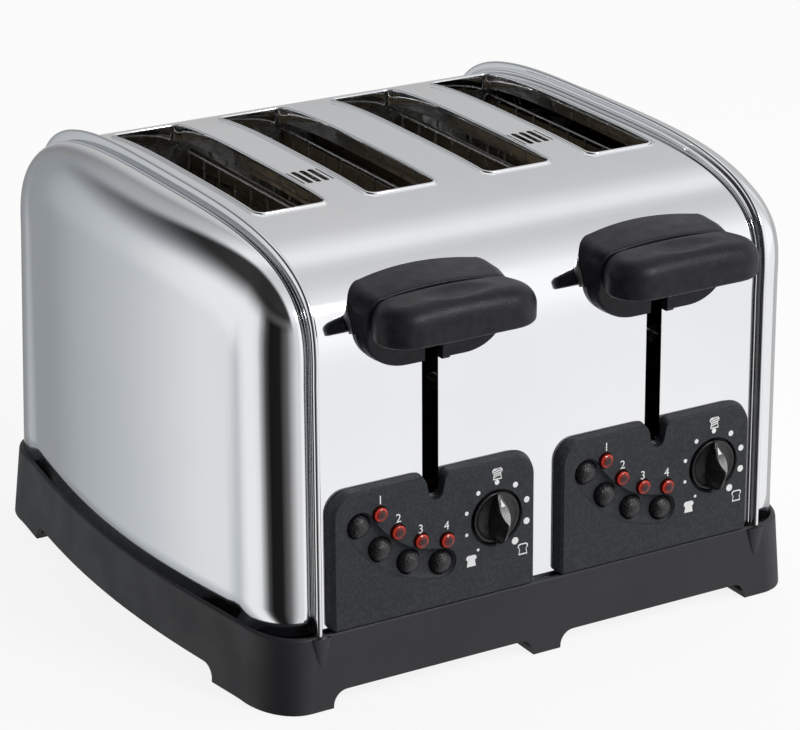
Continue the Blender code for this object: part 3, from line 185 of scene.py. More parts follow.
floor_mesh = bpy.data.meshes.new("floor")
corners = [(x * floor_half, y * floor_half, 0) for x, y in ((-1, -1), (1, -1), (1, 1), (-1, 1))]
floor_mesh.from_pydata(corners, [], [(0, 1, 2, 3)])
floor = placed("floor", floor_mesh)
floor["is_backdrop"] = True
floor_paint = bpy.data.materials.new("white_sweep")
floor_paint.use_nodes = True
nodes = Nodes(floor_paint.node_tree)
straight, glossy = nodes.rays()
white = nodes.add("ShaderNodeEmission", {"Color": (1, 1, 1, 1), "Strength": 1.0}).outputs[0]
shaded = nodes.add("ShaderNodeBsdfDiffuse", {"Color": (floor_tone, floor_tone, floor_tone, 1)}).outputs[0]
unseen = nodes.add("ShaderNodeBsdfTransparent").outputs[0]
direct = nodes.blend(nodes.math("MULTIPLY", straight, floor_white), shaded, white)
nodes.add("ShaderNodeOutputMaterial", {"Surface": nodes.blend(glossy, direct, unseen)})
floor_mesh.materials.append(floor_paint)

world = bpy.data.worlds.new("studio")
world.use_nodes = True
nodes = Nodes(world.node_tree)
split = nodes.add("ShaderNodeSeparateXYZ", {0: nodes.add("ShaderNodeTexCoord").outputs["Generated"]}).outputs
straight, glossy = nodes.rays()
cooled = []
for turn, tone in round_tones:
    blue = cool_tint * (cool_least + (1 - cool_least) * (1 - turn / cool_end)) if turn < cool_end else 0
    cooled.append((turn, (tone * (1 - blue), tone, tone * (1 + blue), 1)))
round_tone = nodes.ramp(turn_share(nodes, split[0], split[1]), cooled)
over = nodes.math("ARCTAN2", split[1], split[2])
over_share = nodes.math("MULTIPLY_ADD", over, (1 - over_start) / math.pi, (1 + over_start) / 2)
over_tone = nodes.ramp(over_share, over_tones)
rise = nodes.span(split[2], *overhead_rise)
overhead = nodes.math("MAXIMUM", rise, nodes.span(split[0], *front_right_turn))
room = nodes.mix(overhead, round_tone, over_tone)
wall_rise = nodes.span(split[2], *dark_wall_rise, 0, dark_wall_share)
dark_wall = nodes.math("MULTIPLY", nodes.span(split[0], *dark_wall_turn), wall_rise)
room = nodes.mix(dark_wall, room, (0, 0, 0, 1))
fill = nodes.span(split[0], *fill_turn, *[room_strength * share for share in fill_shares])
backgrounds = []
for colour, strength in (((1, 1, 1, 1), 1.0), (fill_colour, fill), (room, 1.0)):
    inputs = {"Color": colour, "Strength": strength}
    backgrounds.append(nodes.add("ShaderNodeBackground", inputs).outputs[0])
white, shaded, reflected = backgrounds
sky = nodes.blend(straight, nodes.blend(glossy, shaded, reflected), white)
nodes.add("ShaderNodeOutputWorld", {"Surface": sky})
bpy.context.scene.world = world

# Studio lamps: a soft box high in front beside the camera, whose gleam shows, a lower one to the right and a
# long one above the rear.
lamps = (
    ("key_lamp", (0.62, -1.45, 1.40), 0.50, 0.50, 16.0),
    ("side_lamp", (1.50, -0.70, 0.80), 0.80, 0.80, 7.0),
    ("rear_lamp", (0.20, 1.10, 1.30), 1.40, 0.40, 6.0),
)
for name, place, wide, high, power in lamps:
    light = bpy.data.lights.new(name, "AREA")
    light.shape = "RECTANGLE"
    light.size = wide
    light.size_y = high
    light.energy = power
    lamp = placed(name, light)
    lamp.location = place
    lamp.rotation_euler = (aim - Vector(place)).to_track_quat("-Z", "Y").to_euler()
    lamp.visible_camera = False
    lamp.visible_glossy = name == "key_lamp"

# Body wrap: one sheet of polished chromed steel, bent from the front over the top to the rear. It is
# pressed out at the four bread slots, whose edges are rolled over, and pierced by the two vents, the
# two lever slots and the openings behind the panels.
lean = 0.035
shoulder_z = 0.1521
arch_power = 3.41
sheet = 0.0010
arch_steps = 56
front_rows = 10
slot_centres = (-0.08875, -0.03125, 0.03125, 0.08875)
slot_half = 0.0175
slot_corner = 0.0040
lip_width = 0.0016
lip_rise = 0.0012
lip_drop = 0.0070
vent_length = 0.0175
vent_width = 0.0028
vent_pitch = 0.0043
vent_count = 5
vent_front = 0.0250
lever_x = 0.0600
both_ends = ((-1, "left"), (1, "right"))
lever_slot_half = 0.0042
lever_slot_low_z = 0.0890
lever_slot_high_z = 0.1860
window_half_x = 0.0466
window_step = 0.0120
window_low_z = 0.0470
window_high_z = 0.0868
window_left_z = 0.0906
clear = 0.0040
shoulder_ease = 2.5
side_facing = 0.02
skin_likeness = 0.985

wrap_low, wrap_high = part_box("body_wrap")
body_bottom_z = wrap_low.z
seat_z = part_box("rim_right")[0].z
body_top_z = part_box("end_cap_left")[1].z
crown_rise = body_top_z - shoulder_z
body_y = (wrap_low.y + wrap_high.y) / 2
half_depth = (wrap_high.y - wrap_low.y) / 2 - lean * (shoulder_z - body_bottom_z)
slot_front_y = body_y - 0.0590
slot_rear_y = body_y + 0.0820


def arch(offset, bottom_z, rows=front_rows, steps=arch_steps):
    """Points (y, z) of the body's outline from the front's foot over the top to the rear's foot."""
    depth, rise = half_depth + offset, crown_rise + offset
    side = []
    for i in range(rows):
        z = bottom_z + (shoulder_z - bottom_z) * i / rows
        side.append((depth + lean * (shoulder_z - z), z))
    for i in range(steps + 1):
        angle = math.pi / 2 * i / steps
        y = depth * max(0, math.cos(angle)) ** (2 / arch_power)
        side.append((y, shoulder_z + rise * math.sin(angle) ** (2 / arch_power)))
    return [(body_y - y, z) for y, z in side] + [(body_y + y, z) for y, z in reversed(side[:-1])]


def crown_z(y):
    """The height of the chrome's top over y."""
    return shoulder_z + crown_rise * (1 - (abs(y - body_y) / half_depth) ** arch_power) ** (1 / arch_power)


def skin_y(z):
    """The front of the chrome at a height below its shoulder."""
    return body_y - half_depth - lean * (shoulder_z - z)


def skin_normal(point):
    """The way that the chrome's sheet faces at a point, eased where the front meets the shoulder."""
    side = math.copysign(1, point.y - body_y)
    if point.z <= shoulder_z:
        share = (shoulder_z - point.z) / (shoulder_z - body_bottom_z)
        return Vector((0, side, lean * min(1, shoulder_ease * share))).normalized()
    y = (abs(point.y - body_y) / half_depth) ** (arch_power - 1) / half_depth
    z = ((point.z - shoulder_z) / crown_rise) ** (arch_power - 1) / crown_rise
    return Vector((0, side * y, z)).normalized()


def smoothed(mesh, angle):
    """Shades a mesh smooth but for its sharp edges."""
    for polygon in mesh.polygons:
        polygon.use_smooth = True
    mesh.set_sharp_from_angle(angle=math.radians(angle))


def made(name, bm, angle=35, outward=True):
    """An object from a bmesh, smooth but for its sharp edges."""
    bmesh.ops.remove_doubles(bm, verts=bm.verts, dist=1e-7)
    if outward:
        bmesh.ops.recalc_face_normals(bm, faces=bm.faces)
    mesh = bpy.data.meshes.new(name)
    bm.to_mesh(mesh)
    bm.free()
    smoothed(mesh, angle)
    return placed(name, mesh)


def skinned(bm, rings, closed=True, capped=True, looped=False):
    """Faces between rings of equally many points, added to a bmesh."""
    rows = [[bm.verts.new(point) for point in ring] for ring in rings]
    for low, high in zip(rows, rows[1:] + (rows[:1] if looped else [])):
        for i in range(len(low) if closed else len(low) - 1):
            j = (i + 1) % len(low)
            bm.faces.new((low[i], low[j], high[j], high[i]))
    if capped and not looped:
        bm.faces.new(reversed(rows[0]))
        bm.faces.new(rows[-1])
    return rows


def quarter(steps, first=0):
    """One less the cosine, and the sine, of even steps round a quarter turn."""
    angles = [math.pi / 2 * i / steps for i in range(first, steps + 1)]
    return [(1 - math.cos(angle), math.sin(angle)) for angle in angles]


def circle(sides):
    """The cosine and the sine of even steps round a whole turn."""
    angles = [2 * math.pi * i / sides for i in range(sides)]
    return [(math.cos(angle), math.sin(angle)) for angle in angles]


def swing(middle, radius, start, turn, steps, first=0):
    """Points on an arc, in even steps of a turn about its middle."""
    angles = [start + turn * i / steps for i in range(first, steps + 1)]
    return [(middle[0] + radius * math.cos(a), middle[1] + radius * math.sin(a)) for a in angles]


def disc(place, radius, y, sides):
    """A circle that faces the front, round a place."""
    return [(place.x + radius * c, y, place.z + radius * s) for c, s in circle(sides)]


def mirrored(x, half):
    """An outline from its right half, given from x, and the mirror image of that."""
    return [(x + across, z) for across, z in half] + [(x - across, z) for across, z in reversed(half)]


def loft(name, rings, looped=False, angle=35):
    """A solid through rings of points."""
    bm = bmesh.new()
    skinned(bm, rings, looped=looped)
    return made(name, bm, angle)


def rounded(left, right, low, high, corner, steps=8, along=1):
    """A rectangle's outline with round corners, counter-clockwise, its upright sides in steps."""
    points = []
    middles = (
        (right - corner, low + corner, -math.pi / 2),
        (right - corner, high - corner, 0),
        (left + corner, high - corner, math.pi / 2),
        (left + corner, low + corner, math.pi),
    )
    for number, (x, y, start) in enumerate(middles):
        points += swing((x, y), corner, start, math.pi / 2, steps)
        if number in (0, 2):
            edge = points[-1][0]
            ends = (low + corner, high - corner) if number == 0 else (high - corner, low + corner)
            for i in range(1, along):
                points.append((edge, ends[0] + (ends[1] - ends[0]) * i / along))
    return points


def carved(piece, *tools, operation="DIFFERENCE"):
    """The piece with its tools cut out of it, or joined to it, as a plain mesh."""
    for tool in tools:
        modifier = piece.modifiers.new(tool.name, "BOOLEAN")
        modifier.operation = operation
        modifier.object = tool
    return plain(piece, tools)


def plain(piece, leftovers=()):
    """The piece's mesh with its modifiers in it."""
    bpy.context.view_layer.update()
    seen_piece = piece.evaluated_get(bpy.context.evaluated_depsgraph_get())
    mesh = bpy.data.meshes.new_from_object(seen_piece)
    piece.modifiers.clear()
    piece.data = mesh
    mesh.name = piece.name
    for leftover in leftovers:
        bpy.data.objects.remove(leftover)
    return piece


def dressed(piece, material, slot, body, *replaced):
    """The piece in its finish, riding on its body, in place of the nodes that it stands for."""
    piece.data.materials.clear()
    piece.data.materials.append(material)
    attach(piece, body)
    if replaced:
        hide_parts(*replaced)
    return piece


def finish(name, colour, metallic=0.0, **sockets):
    """A material with a Principled shader, and the tree's node maker."""
    material = bpy.data.materials.new(name)
    material.use_nodes = True
    nodes = Nodes(material.node_tree)
    shader = nodes.add("ShaderNodeBsdfPrincipled", {"Base Color": (*colour, 1), "Metallic": metallic})
    for socket, value in sockets.items():
        shader.inputs[socket.replace("_", " ")].default_value = value
    nodes.add("ShaderNodeOutputMaterial", {"Surface": shader.outputs[0]})
    return material, nodes, shader


def noise(nodes, scale, detail=2.0, stretch=(1, 1, 1), roughness=0.5):
    """Noise on the piece's own coordinates, stretched along its axes."""
    place = nodes.add("ShaderNodeTexCoord").outputs["Object"]
    turned = nodes.add("ShaderNodeMapping", {"Vector": place, "Scale": stretch}).outputs[0]
    inputs = {"Vector": turned, "Scale": scale, "Detail": detail, "Roughness": roughness}
    return nodes.add("ShaderNodeTexNoise", inputs).outputs[0]


def rough(nodes, shader, value, low, high):
    """Roughness that follows a value."""
    nodes.tree.links.new(nodes.span(value, 0.3, 0.7, low, high), shader.inputs["Roughness"])


def bumped(nodes, shader, *layers):
    """Bumps from (height, strength, depth) layers, each on top of the last."""
    normal = None
    for height, strength, depth in layers:
        inputs = {"Height": height, "Strength": strength, "Distance": depth}
        if normal:
            inputs["Normal"] = normal
        normal = nodes.add("ShaderNodeBump", inputs).outputs[0]
    nodes.tree.links.new(normal, shader.inputs["Normal"])


def tinted(nodes, shader, value, first, last, low=0.3, high=0.7):
    """A colour that follows a value."""
    mixed = nodes.mix(nodes.span(value, low, high), (*first, 1), (*last, 1))
    nodes.tree.links.new(mixed, shader.inputs["Base Color"])


def surface(name, colour, tint, gloss, *bumps, **sockets):
    """A finish whose tint and gloss vary, each as (noise, one end, other end), with bumps from noise."""
    material, nodes, shader = finish(name, colour, **sockets)
    tinted(nodes, shader, noise(nodes, *tint[0]), *tint[1:])
    rough(nodes, shader, noise(nodes, *gloss[0]), *gloss[1:])
    bumped(nodes, shader, *[(noise(nodes, *grain), *sizes) for grain, *sizes in bumps])
    return material


chrome = surface(
    "polished_chrome",
    (0.86, 0.87, 0.89),
    ((9, 3), (0.84, 0.855, 0.88), (0.88, 0.885, 0.90)),
    ((40, 4), 0.045, 0.085),
    ((5, 1), 0.10, 0.0010),
    ((900, 2, (1, 0.02, 0.02)), 0.010, 0.0002),
    metallic=1.0,
)

wrap_edge = wrap_high.x
bm = bmesh.new()
outer = arch(0, body_bottom_z)
inner = arch(-sheet, body_bottom_z)
outline = outer + inner[::-1]
skinned(bm, [[(x, y, z) for y, z in outline] for x in (-wrap_edge, wrap_edge)], capped=False)
for ring in (0, 1):
    bm.verts.ensure_lookup_table()
    row = bm.verts[ring * len(outline) : (ring + 1) * len(outline)]
    for i in range(len(outer) - 1):
        bm.faces.new((row[i], row[i + 1], row[-2 - i], row[-1 - i]))
body_wrap = made("chrome_body_wrap", bm)


def upright(name, outline, low, high):
    """A cutter that stands on an outline in x and y."""
    return loft(name, [[(x, y, z) for x, y in outline] for z in (low, high)])


def facing_front(outline, y):
    """A ring from an outline in x and z."""
    return [(x, y, z) for x, z in outline]


def through(name, outline, near, far):
    """A cutter that runs back from an outline in x and z."""
    return loft(name, [facing_front(outline, y) for y in (near, far)])


tools = []
for x in slot_centres:
    wide = slot_half + lip_width / 2
    low, high = slot_front_y - lip_width / 2, slot_rear_y + lip_width / 2
    outline = rounded(x - wide, x + wide, low, high, slot_corner + lip_width / 2)
    tools.append(upright("slot_tool", outline, shoulder_z, body_top_z + clear))
vent_low, vent_high = (body_y - vent_front + way * vent_length / 2 for way in (-1, 1))
for side in (-1, 1):
    x = side * lever_x
    for i in range(vent_count):
        middle = x + (i - (vent_count - 1) / 2) * vent_pitch
        left, right = middle - vent_width / 2, middle + vent_width / 2
        outline = rounded(left, right, vent_low, vent_high, vent_width / 2.01, 4)
        tools.append(upright("vent_tool", outline, shoulder_z, body_top_z + clear))
    left, right = x - lever_slot_half, x + lever_slot_half
    outline = rounded(left, right, lever_slot_low_z, lever_slot_high_z, lever_slot_half / 1.01)
    tools.append(through("lever_slot_tool", outline, wrap_low.y - clear, slot_front_y - clear))
    left, right = x - window_half_x, x + window_half_x
    outline = [(left, window_low_z), (right, window_low_z), (right, window_high_z)]
    outline += [(x - window_step, window_high_z), (x - window_step, window_left_z), (left, window_left_z)]
    tools.append(through("window_tool", outline, wrap_low.y - clear, slot_front_y - clear))
carved(body_wrap, *tools)
lip_section = [(0, -lip_drop), (0, lip_rise - lip_width / 2)]
lip_round = lip_width / 2
lip_section += swing((lip_round, lip_rise - lip_round), lip_round, math.pi, -math.pi, 8, 1)[:-1]
lip_section += [(lip_width, lip_rise / 3), (lip_width * 1.4, lip_rise / 8), (lip_width * 2, 0)]
lip_section += [(lip_width * 2, -sheet / 2), (lip_width * 0.6, -sheet), (lip_width * 0.5, -lip_drop)]
bm = bmesh.new()
bm.from_mesh(body_wrap.data)
for x in slot_centres:
    rings = []
    for outward, rise in lip_section:
        wide = slot_half + outward
        low, high = slot_front_y - outward, slot_rear_y + outward
        outline = rounded(x - wide, x + wide, low, high, slot_corner + outward, along=16)
        rings.append([(px, py, crown_z(py) + rise) for px, py in outline])
    skinned(bm, rings, looped=True)
bmesh.ops.recalc_face_normals(bm, faces=bm.faces)
bm.to_mesh(body_wrap.data)
bm.free()
mesh = body_wrap.data
smoothed(mesh, 30)
normals = []
for polygon in mesh.polygons:
    for loop in polygon.loop_indices:
        smooth = skin_normal(mesh.vertices[mesh.loops[loop].vertex_index].co)
        own = mesh.corner_normals[loop].vector
        on_skin = abs(polygon.normal.x) < side_facing and polygon.normal.dot(smooth) > skin_likeness
        normals.append(smooth if on_skin else own.copy())
mesh.normals_split_custom_set(normals)
dressed(body_wrap, chrome, "chrome", "toaster", "body_wrap")

# Rims: a bright bead rolled from chromed strip over each joint between the wrap and an end cap. Two
# fine steps lie on its inner side, and its outer side drops straight to the cap.
rim_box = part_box("rim_right")
rim_inner_x, rim_outer_x = rim_box[0].x, rim_box[1].x
rim_proud = rim_box[1].z - body_top_z
rim_sunk = 0.0025
bead = (rim_outer_x - rim_inner_x) * 0.36
rim_section = [
    (rim_inner_x, -rim_sunk),
    (rim_inner_x, rim_proud * 0.08),
    (rim_inner_x + 0.00025, rim_proud * 0.16),
    (rim_inner_x + 0.00070, rim_proud * 0.18),
    (rim_inner_x + 0.00085, rim_proud * 0.30),
    (rim_inner_x + 0.00110, rim_proud * 0.38),
    (rim_inner_x + 0.00150, rim_proud * 0.38),
]
bead_x, bead_z = rim_outer_x - bead, rim_proud - bead
for i in range(9):
    angle = math.pi * (1 - i / 8)
    rim_section.append((bead_x + bead * math.cos(angle) * 0.86, bead_z + bead * math.sin(angle)))
rim_section += [(rim_outer_x - bead * 0.05, bead_z - bead * 0.3), (rim_outer_x, bead_z - bead)]
rim_section += [(rim_outer_x, -rim_sunk)]


def swept(name, section, angle=35):
    """A section of (x, offset) points swept along the body's arch."""
    paths = [arch(offset, seat_z) for _, offset in section]
    rings = []
    for i in range(len(paths[0])):
        rings.append([(x, *path[i]) for (x, _), path in zip(section, paths)])
    return loft(name, rings, angle=angle)


for side, name in both_ends:
    rim = swept("chrome_rim_" + name, [(side * x, offset) for x, offset in rim_section], 50)
    dressed(rim, chrome, "chrome", "toaster", "rim_" + name)

# End caps: drawn shells of chromed steel, flat in the middle and turned round the edge to meet the
# rim in a small step. They bow outwards a little between the front and the rear.
cap_corner_x = 0.0208
cap_corner_y = 0.0280
cap_bow = 0.0092
cap_sheet = 0.0012
cap_steps = 22
cap_rows = 6
fit_gap = 0.0003


def bowed(y, half_length):
    """How far a side bulges at y, as a share of its greatest bulge."""
    return max(0, 1 - (y / half_length) ** 2) ** 1.15


for side, name in both_ends:
    joint_x = rim_outer_x + fit_gap
    wall_half = half_depth - cap_corner_y
    stages = [(cap_sheet, 0, 0), (cap_sheet * 0.9, cap_sheet * 0.7, 0), (cap_sheet * 0.6, cap_sheet, 0)]
    stages += [(cap_sheet * 0.2, cap_sheet * 1.1, 0), (0, cap_sheet * 1.5, 0)]
    stages += [(cap_corner_y * near, cap_sheet * 1.5, far) for near, far in quarter(cap_steps, 1)]
    for i in range(1, cap_rows + 1):
        rest = (crown_rise - cap_corner_y) * i / cap_rows
        stages.append((cap_corner_y + rest, cap_sheet * 1.5, 1))
    bm = bmesh.new()
    rings = []
    for inset, out, share in stages:
        ring = []
        for y, z in arch(-inset, seat_z):
            bulge = cap_corner_x - cap_sheet * 1.5 + cap_bow * bowed(y - body_y, wall_half)
            ring.append((side * (joint_x + out + bulge * share), y, z))
        rings.append(ring)
    rows = skinned(bm, rings, closed=False, capped=False)
    top = rows[-1][front_rows:-front_rows]
    for step in range(front_rows, 0, -1):
        z = seat_z + (shoulder_z - seat_z) * (step - 1) / front_rows
        inner = [bm.verts.new((v.co.x, v.co.y, z)) for v in top[1:-1]]
        edge = [rows[-1][step - 1], *inner, rows[-1][-step]]
        for i in range(len(top) - 1):
            bm.faces.new((edge[i], edge[i + 1], top[i + 1], top[i]))
        top = edge
    bmesh.ops.recalc_face_normals(bm, faces=bm.faces)
    if sum(face.normal.x * face.calc_area() for face in bm.faces) * side < 0:
        bmesh.ops.reverse_faces(bm, faces=bm.faces)
    cap = made("chrome_end_cap_" + name, bm, 50, outward=False)
    shell = cap.modifiers.new("sheet", "SOLIDIFY")
    shell.thickness = cap_sheet
    shell.offset = -1
    plain(cap)
    dressed(cap, chrome, "chrome", "toaster", "end_cap_" + name)

# Base: one charcoal moulding that flares towards the counter, with six feet between low arches, a
# rounded lip round its top and a pointed fairing under each rim. The trays and the lead leave at its
# rear, and a ledge inside carries the chassis.
base_half_width = 0.1430
base_flare = 0.0023
base_corner_x = 0.0200
base_corner_y = 0.0280
base_wall = 0.0026
base_round = 0.0016
groove_width = 0.0034
groove_depth = 0.0024
ledge_width = 0.0125
ledge_thick = 0.0012
sole_width = 0.0140
sole_thick = 0.0025
skirt_z = 0.0081
corner_foot_x = 0.1134
corner_foot_y = 0.0900
middle_foot_half = 0.00725
foot_arch = 0.0070
edge_round = 0.0005
fairing_half = 0.0045
fairing_tip_z = 0.0225
fairing_proud = 0.0042
fairing_steps = 8
fairing_narrows = 0.75
fairing_thins = 0.88
# Front of a fairing's section: share of its half width, share of its height
fairing_section = ((-1, 0.15), (-0.62, 0.42), (0, 0.50), (0.62, 0.42), (1, 0.15))
plan_sides = 40
plan_corners = 12

base_low, base_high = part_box("base")
base_top_z = base_high.z
base_half_depth = (base_high.y - base_low.y) / 2 - base_flare


def plan(offset, z):
    """The base's outline at an outward offset and a height."""
    depth = base_half_depth + offset
    width = base_half_width + offset
    straight = depth - base_corner_y
    side = []
    for i in range(plan_sides + 1):
        y = straight * (2 * i / plan_sides - 1)
        side.append((width + cap_bow * bowed(y, straight), y))
    corner = []
    for near, far in quarter(plan_corners, 1):
        corner.append((width - base_corner_x * near, straight + base_corner_y * far))
    right = [(x, -y) for x, y in reversed(corner)] + side + corner
    return [(x, body_y + y, z) for x, y in right] + [(-x, body_y - y, z) for x, y in right]


def flare(z):
    """The base's outward offset at a height."""
    return base_flare * (1 - z / base_top_z)


def evened(piece, width=0, angle=35):
    """The piece with its sharp edges broken, and its flat faces kept flat in the light."""
    if width:
        edge = piece.modifiers.new("edge", "BEVEL")
        edge.width = width
        edge.segments = 2
        edge.limit_method = "ANGLE"
        edge.angle_limit = math.radians(angle)
        edge.use_clamp_overlap = True
    plain(piece)
    smoothed(piece.data, angle)
    weighted = piece.modifiers.new("even", "WEIGHTED_NORMAL")
    weighted.keep_sharp = True
    return plain(piece)


base_section = [(flare(0) - edge_round, 0), (flare(0), edge_round)]
for near, far in quarter(4):
    base_section.append((-base_round * near, base_top_z - base_round + base_round * far))
ledge_z = base_top_z - groove_depth
base_section += [
    (-base_round * 1.1, base_top_z - 0.0002),
    (-groove_width, ledge_z),
    (-ledge_width, ledge_z),
    (-ledge_width, ledge_z - ledge_thick),
    (-base_wall, ledge_z - ledge_thick),
    (flare(0) - base_wall, sole_thick),
    (flare(0) - sole_width, sole_thick),
    (flare(0) - sole_width, 0),
]
base = loft("moulded_base", [plan(offset, z) for offset, z in base_section], looped=True)
tools = []
for side in (-1, 1):
    edges = sorted((side * corner_foot_x, side * middle_foot_half))
    outline = rounded(*edges, -foot_arch, skirt_z, foot_arch)
    tools.append(through("foot_tool", outline, base_low.y - clear, base_high.y + clear))
outline = rounded(body_y - corner_foot_y, body_y + corner_foot_y, -foot_arch, skirt_z, foot_arch)
rings = [[(x, y, z) for y, z in outline] for x in (base_low.x - clear, base_high.x + clear)]
tools.append(loft("side_foot_tool", rings))
for _, name in both_ends:
    low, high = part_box("crumb_tray_" + name)
    outline = rounded(low.x - fit_gap, high.x + fit_gap, low.z - fit_gap, high.z + fit_gap, fit_gap)
    tools.append(through("tray_tool", outline, base_high.y - 4 * clear, base_high.y + clear))
bush_low, bush_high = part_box("cord_bush")
bush_x, bush_z = (bush_low.x + bush_high.x) / 2, (bush_low.z + bush_high.z) / 2
bush_hole = 0.0069
outline = [(bush_x + bush_hole * c, bush_z + bush_hole * s) for c, s in circle(32)]
tools.append(through("bush_tool", outline, base_high.y - 4 * clear, base_high.y + clear))
carved(base, *tools)
fairings = []
for side in (-1, 1):
    middle = side * (rim_inner_x + rim_outer_x) / 2
    rings = []
    for i in range(fairing_steps + 1):
        share = i / fairing_steps
        z = base_top_z - base_round * 0.4 + (fairing_tip_z - base_top_z) * share
        wide = fairing_half * (1 - fairing_narrows * share**1.2)
        proud = fairing_proud * (1 - fairing_thins * share)
        front = body_y - base_half_depth - flare(z)
        back_left, back_right = ((middle + way * wide, front + base_wall / 2, z) for way in (-1, 1))
        ring = [(middle + wide * out, front - proud * up, z) for out, up in fairing_section]
        rings.append([back_left, *ring, back_right])
    fairings.append(loft("fairing", rings))
carved(base, *fairings, operation="UNION")
evened(base, edge_round)

base_plastic = surface(
    "base_plastic",
    (0.028, 0.028, 0.030),
    ((14, 3), (0.018, 0.0186, 0.0212), (0.0225, 0.0232, 0.0262)),
    ((60, 3), 0.40, 0.50),
    ((2600, 2), 0.30, 0.0002),
    ((30, 2), 0.05, 0.0006),
    Specular_IOR_Level=0.34,
)
dressed(base, base_plastic, "base_plastic", "toaster", "base")

# Control panels: shield-shaped charcoal mouldings, deeply bevelled all round and notched at the top
# for the lever. A soft trough follows the four buttons, and a round well holds the knob.
panel_left = 0.0542
panel_right = 0.0538
panel_side_draft = 0.0026
panel_top_draft = 0.0019
panel_round = 0.0012
panel_corner_top = 0.0110
panel_corner_low = 0.0032
notch_low_z = 0.0880
notch_half_low = 0.0038
notch_half_mid = 0.0046
notch_half_high = 0.0078
notch_flare = 0.0034
arc_x = 0.0070
arc_z = 0.1103
arc_count = 4
button_arc = 0.0535
button_start = math.radians(30.6)
button_pitch = math.radians(18.5)
lamp_arc = 0.0427
lamp_start = math.radians(32.2)
lamp_pitch = math.radians(18.6)
button_radius = 0.0055
lamp_radius = 0.0035
recess_half = 0.0072
recess_depth = 0.0026
trough_steps = 7
trough_narrows = 0.75
trough_side_power = 1.6
trough_floor_power = 1.4
knob_x = 0.0319
knob_radius = 0.0120
knob_ring = 0.0014
knob_well = 0.0016
well_depth = 0.0036

panel_low, panel_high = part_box("control_panel_right")
knob_low, knob_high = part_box("browning_knob_right")
knob_z = (knob_low.z + knob_high.z) / 2
panel_proud = skin_y(panel_low.z + panel_round) - panel_low.y


def leaning(name, rings):
    """A solid through (outline in x and z, height above the chrome's leaning front) rings."""
    return loft(name, [[(x, skin_y(z) - proud, z) for x, z in outline] for outline, proud in rings])


def panel_outline(x, share, lifted, steps=8):
    """The control panel's outline with its notch, after a share of its draft."""
    side_in, top_in = share * panel_side_draft, share * panel_top_draft
    left, right = x - panel_left + side_in, x + panel_right - side_in
    low, high = panel_low.z + lifted, panel_high.z - top_in
    low_corner, corner = panel_corner_low - side_in, panel_corner_top - side_in / 2
    middles = (
        (left + low_corner, low + low_corner, math.pi, low_corner),
        (right - low_corner, low + low_corner, -math.pi / 2, low_corner),
        (right - corner, high - corner, 0, corner),
    )
    points = []
    for *middle, start, radius in middles:
        points += swing(middle, radius, start, math.pi / 2, steps)
    shoulder = []
    for near, far in quarter(5):
        across = notch_half_high - (notch_half_high - notch_half_mid) * far
        shoulder.append((across, high - notch_flare * near))
    points += [(x + across, z) for across, z in shoulder]
    points += swing((x, notch_low_z + notch_half_low), notch_half_low, 0, -math.pi, 2 * steps)
    points += [(x - across, z) for across, z in reversed(shoulder)]
    return points + swing((left + corner, high - corner), corner, math.pi / 2, math.pi / 2, steps)


def arc_places(radius, start, pitch):
    """Places (x, z) of the buttons or lamps from the lever's own x."""
    angles = [start + i * pitch for i in range(arc_count)]
    return [(arc_x - radius * math.cos(angle), arc_z - radius * math.sin(angle)) for angle in angles]


button_places = arc_places(button_arc, button_start, button_pitch)
lamp_places = arc_places(lamp_arc, lamp_start, lamp_pitch)


def trough(x, half, steps=28, ends=12):
    """Outline of the trough along the buttons' arc, with a half width."""
    centre, radius = Vector((arc_x, arc_z)), button_arc
    start = math.pi + button_start
    end = start + (arc_count - 1) * button_pitch
    points = []
    sweeps = ((start, end, radius + half, end), (end, start, radius - half, start))
    for turn_from, turn_to, reach, tip in sweeps:
        points += swing(centre, reach, turn_from, turn_to - turn_from, steps)
        middle = centre + Vector((math.cos(tip), math.sin(tip))) * radius
        first = tip if reach > radius else tip + math.pi
        points += swing(middle, half, first, math.pi, ends, 1)[:-1]
    return [(x + across, z) for across, z in points]


def face_y(z):
    """The front face of the control panel at a height."""
    return skin_y(z) - panel_proud


def drilled(name, place, depth, radius, sides=40, flare_out=0.0):
    """A round cutter into the panel at a place, from in front of its face to a depth behind it."""
    stages = ((-clear, radius + flare_out), (0, radius + flare_out), (flare_out, radius), (depth, radius))
    if not flare_out:
        stages = ((-clear, radius), (depth, radius))
    return loft(name, [disc(place, wide, place.y + back, sides) for back, wide in stages])


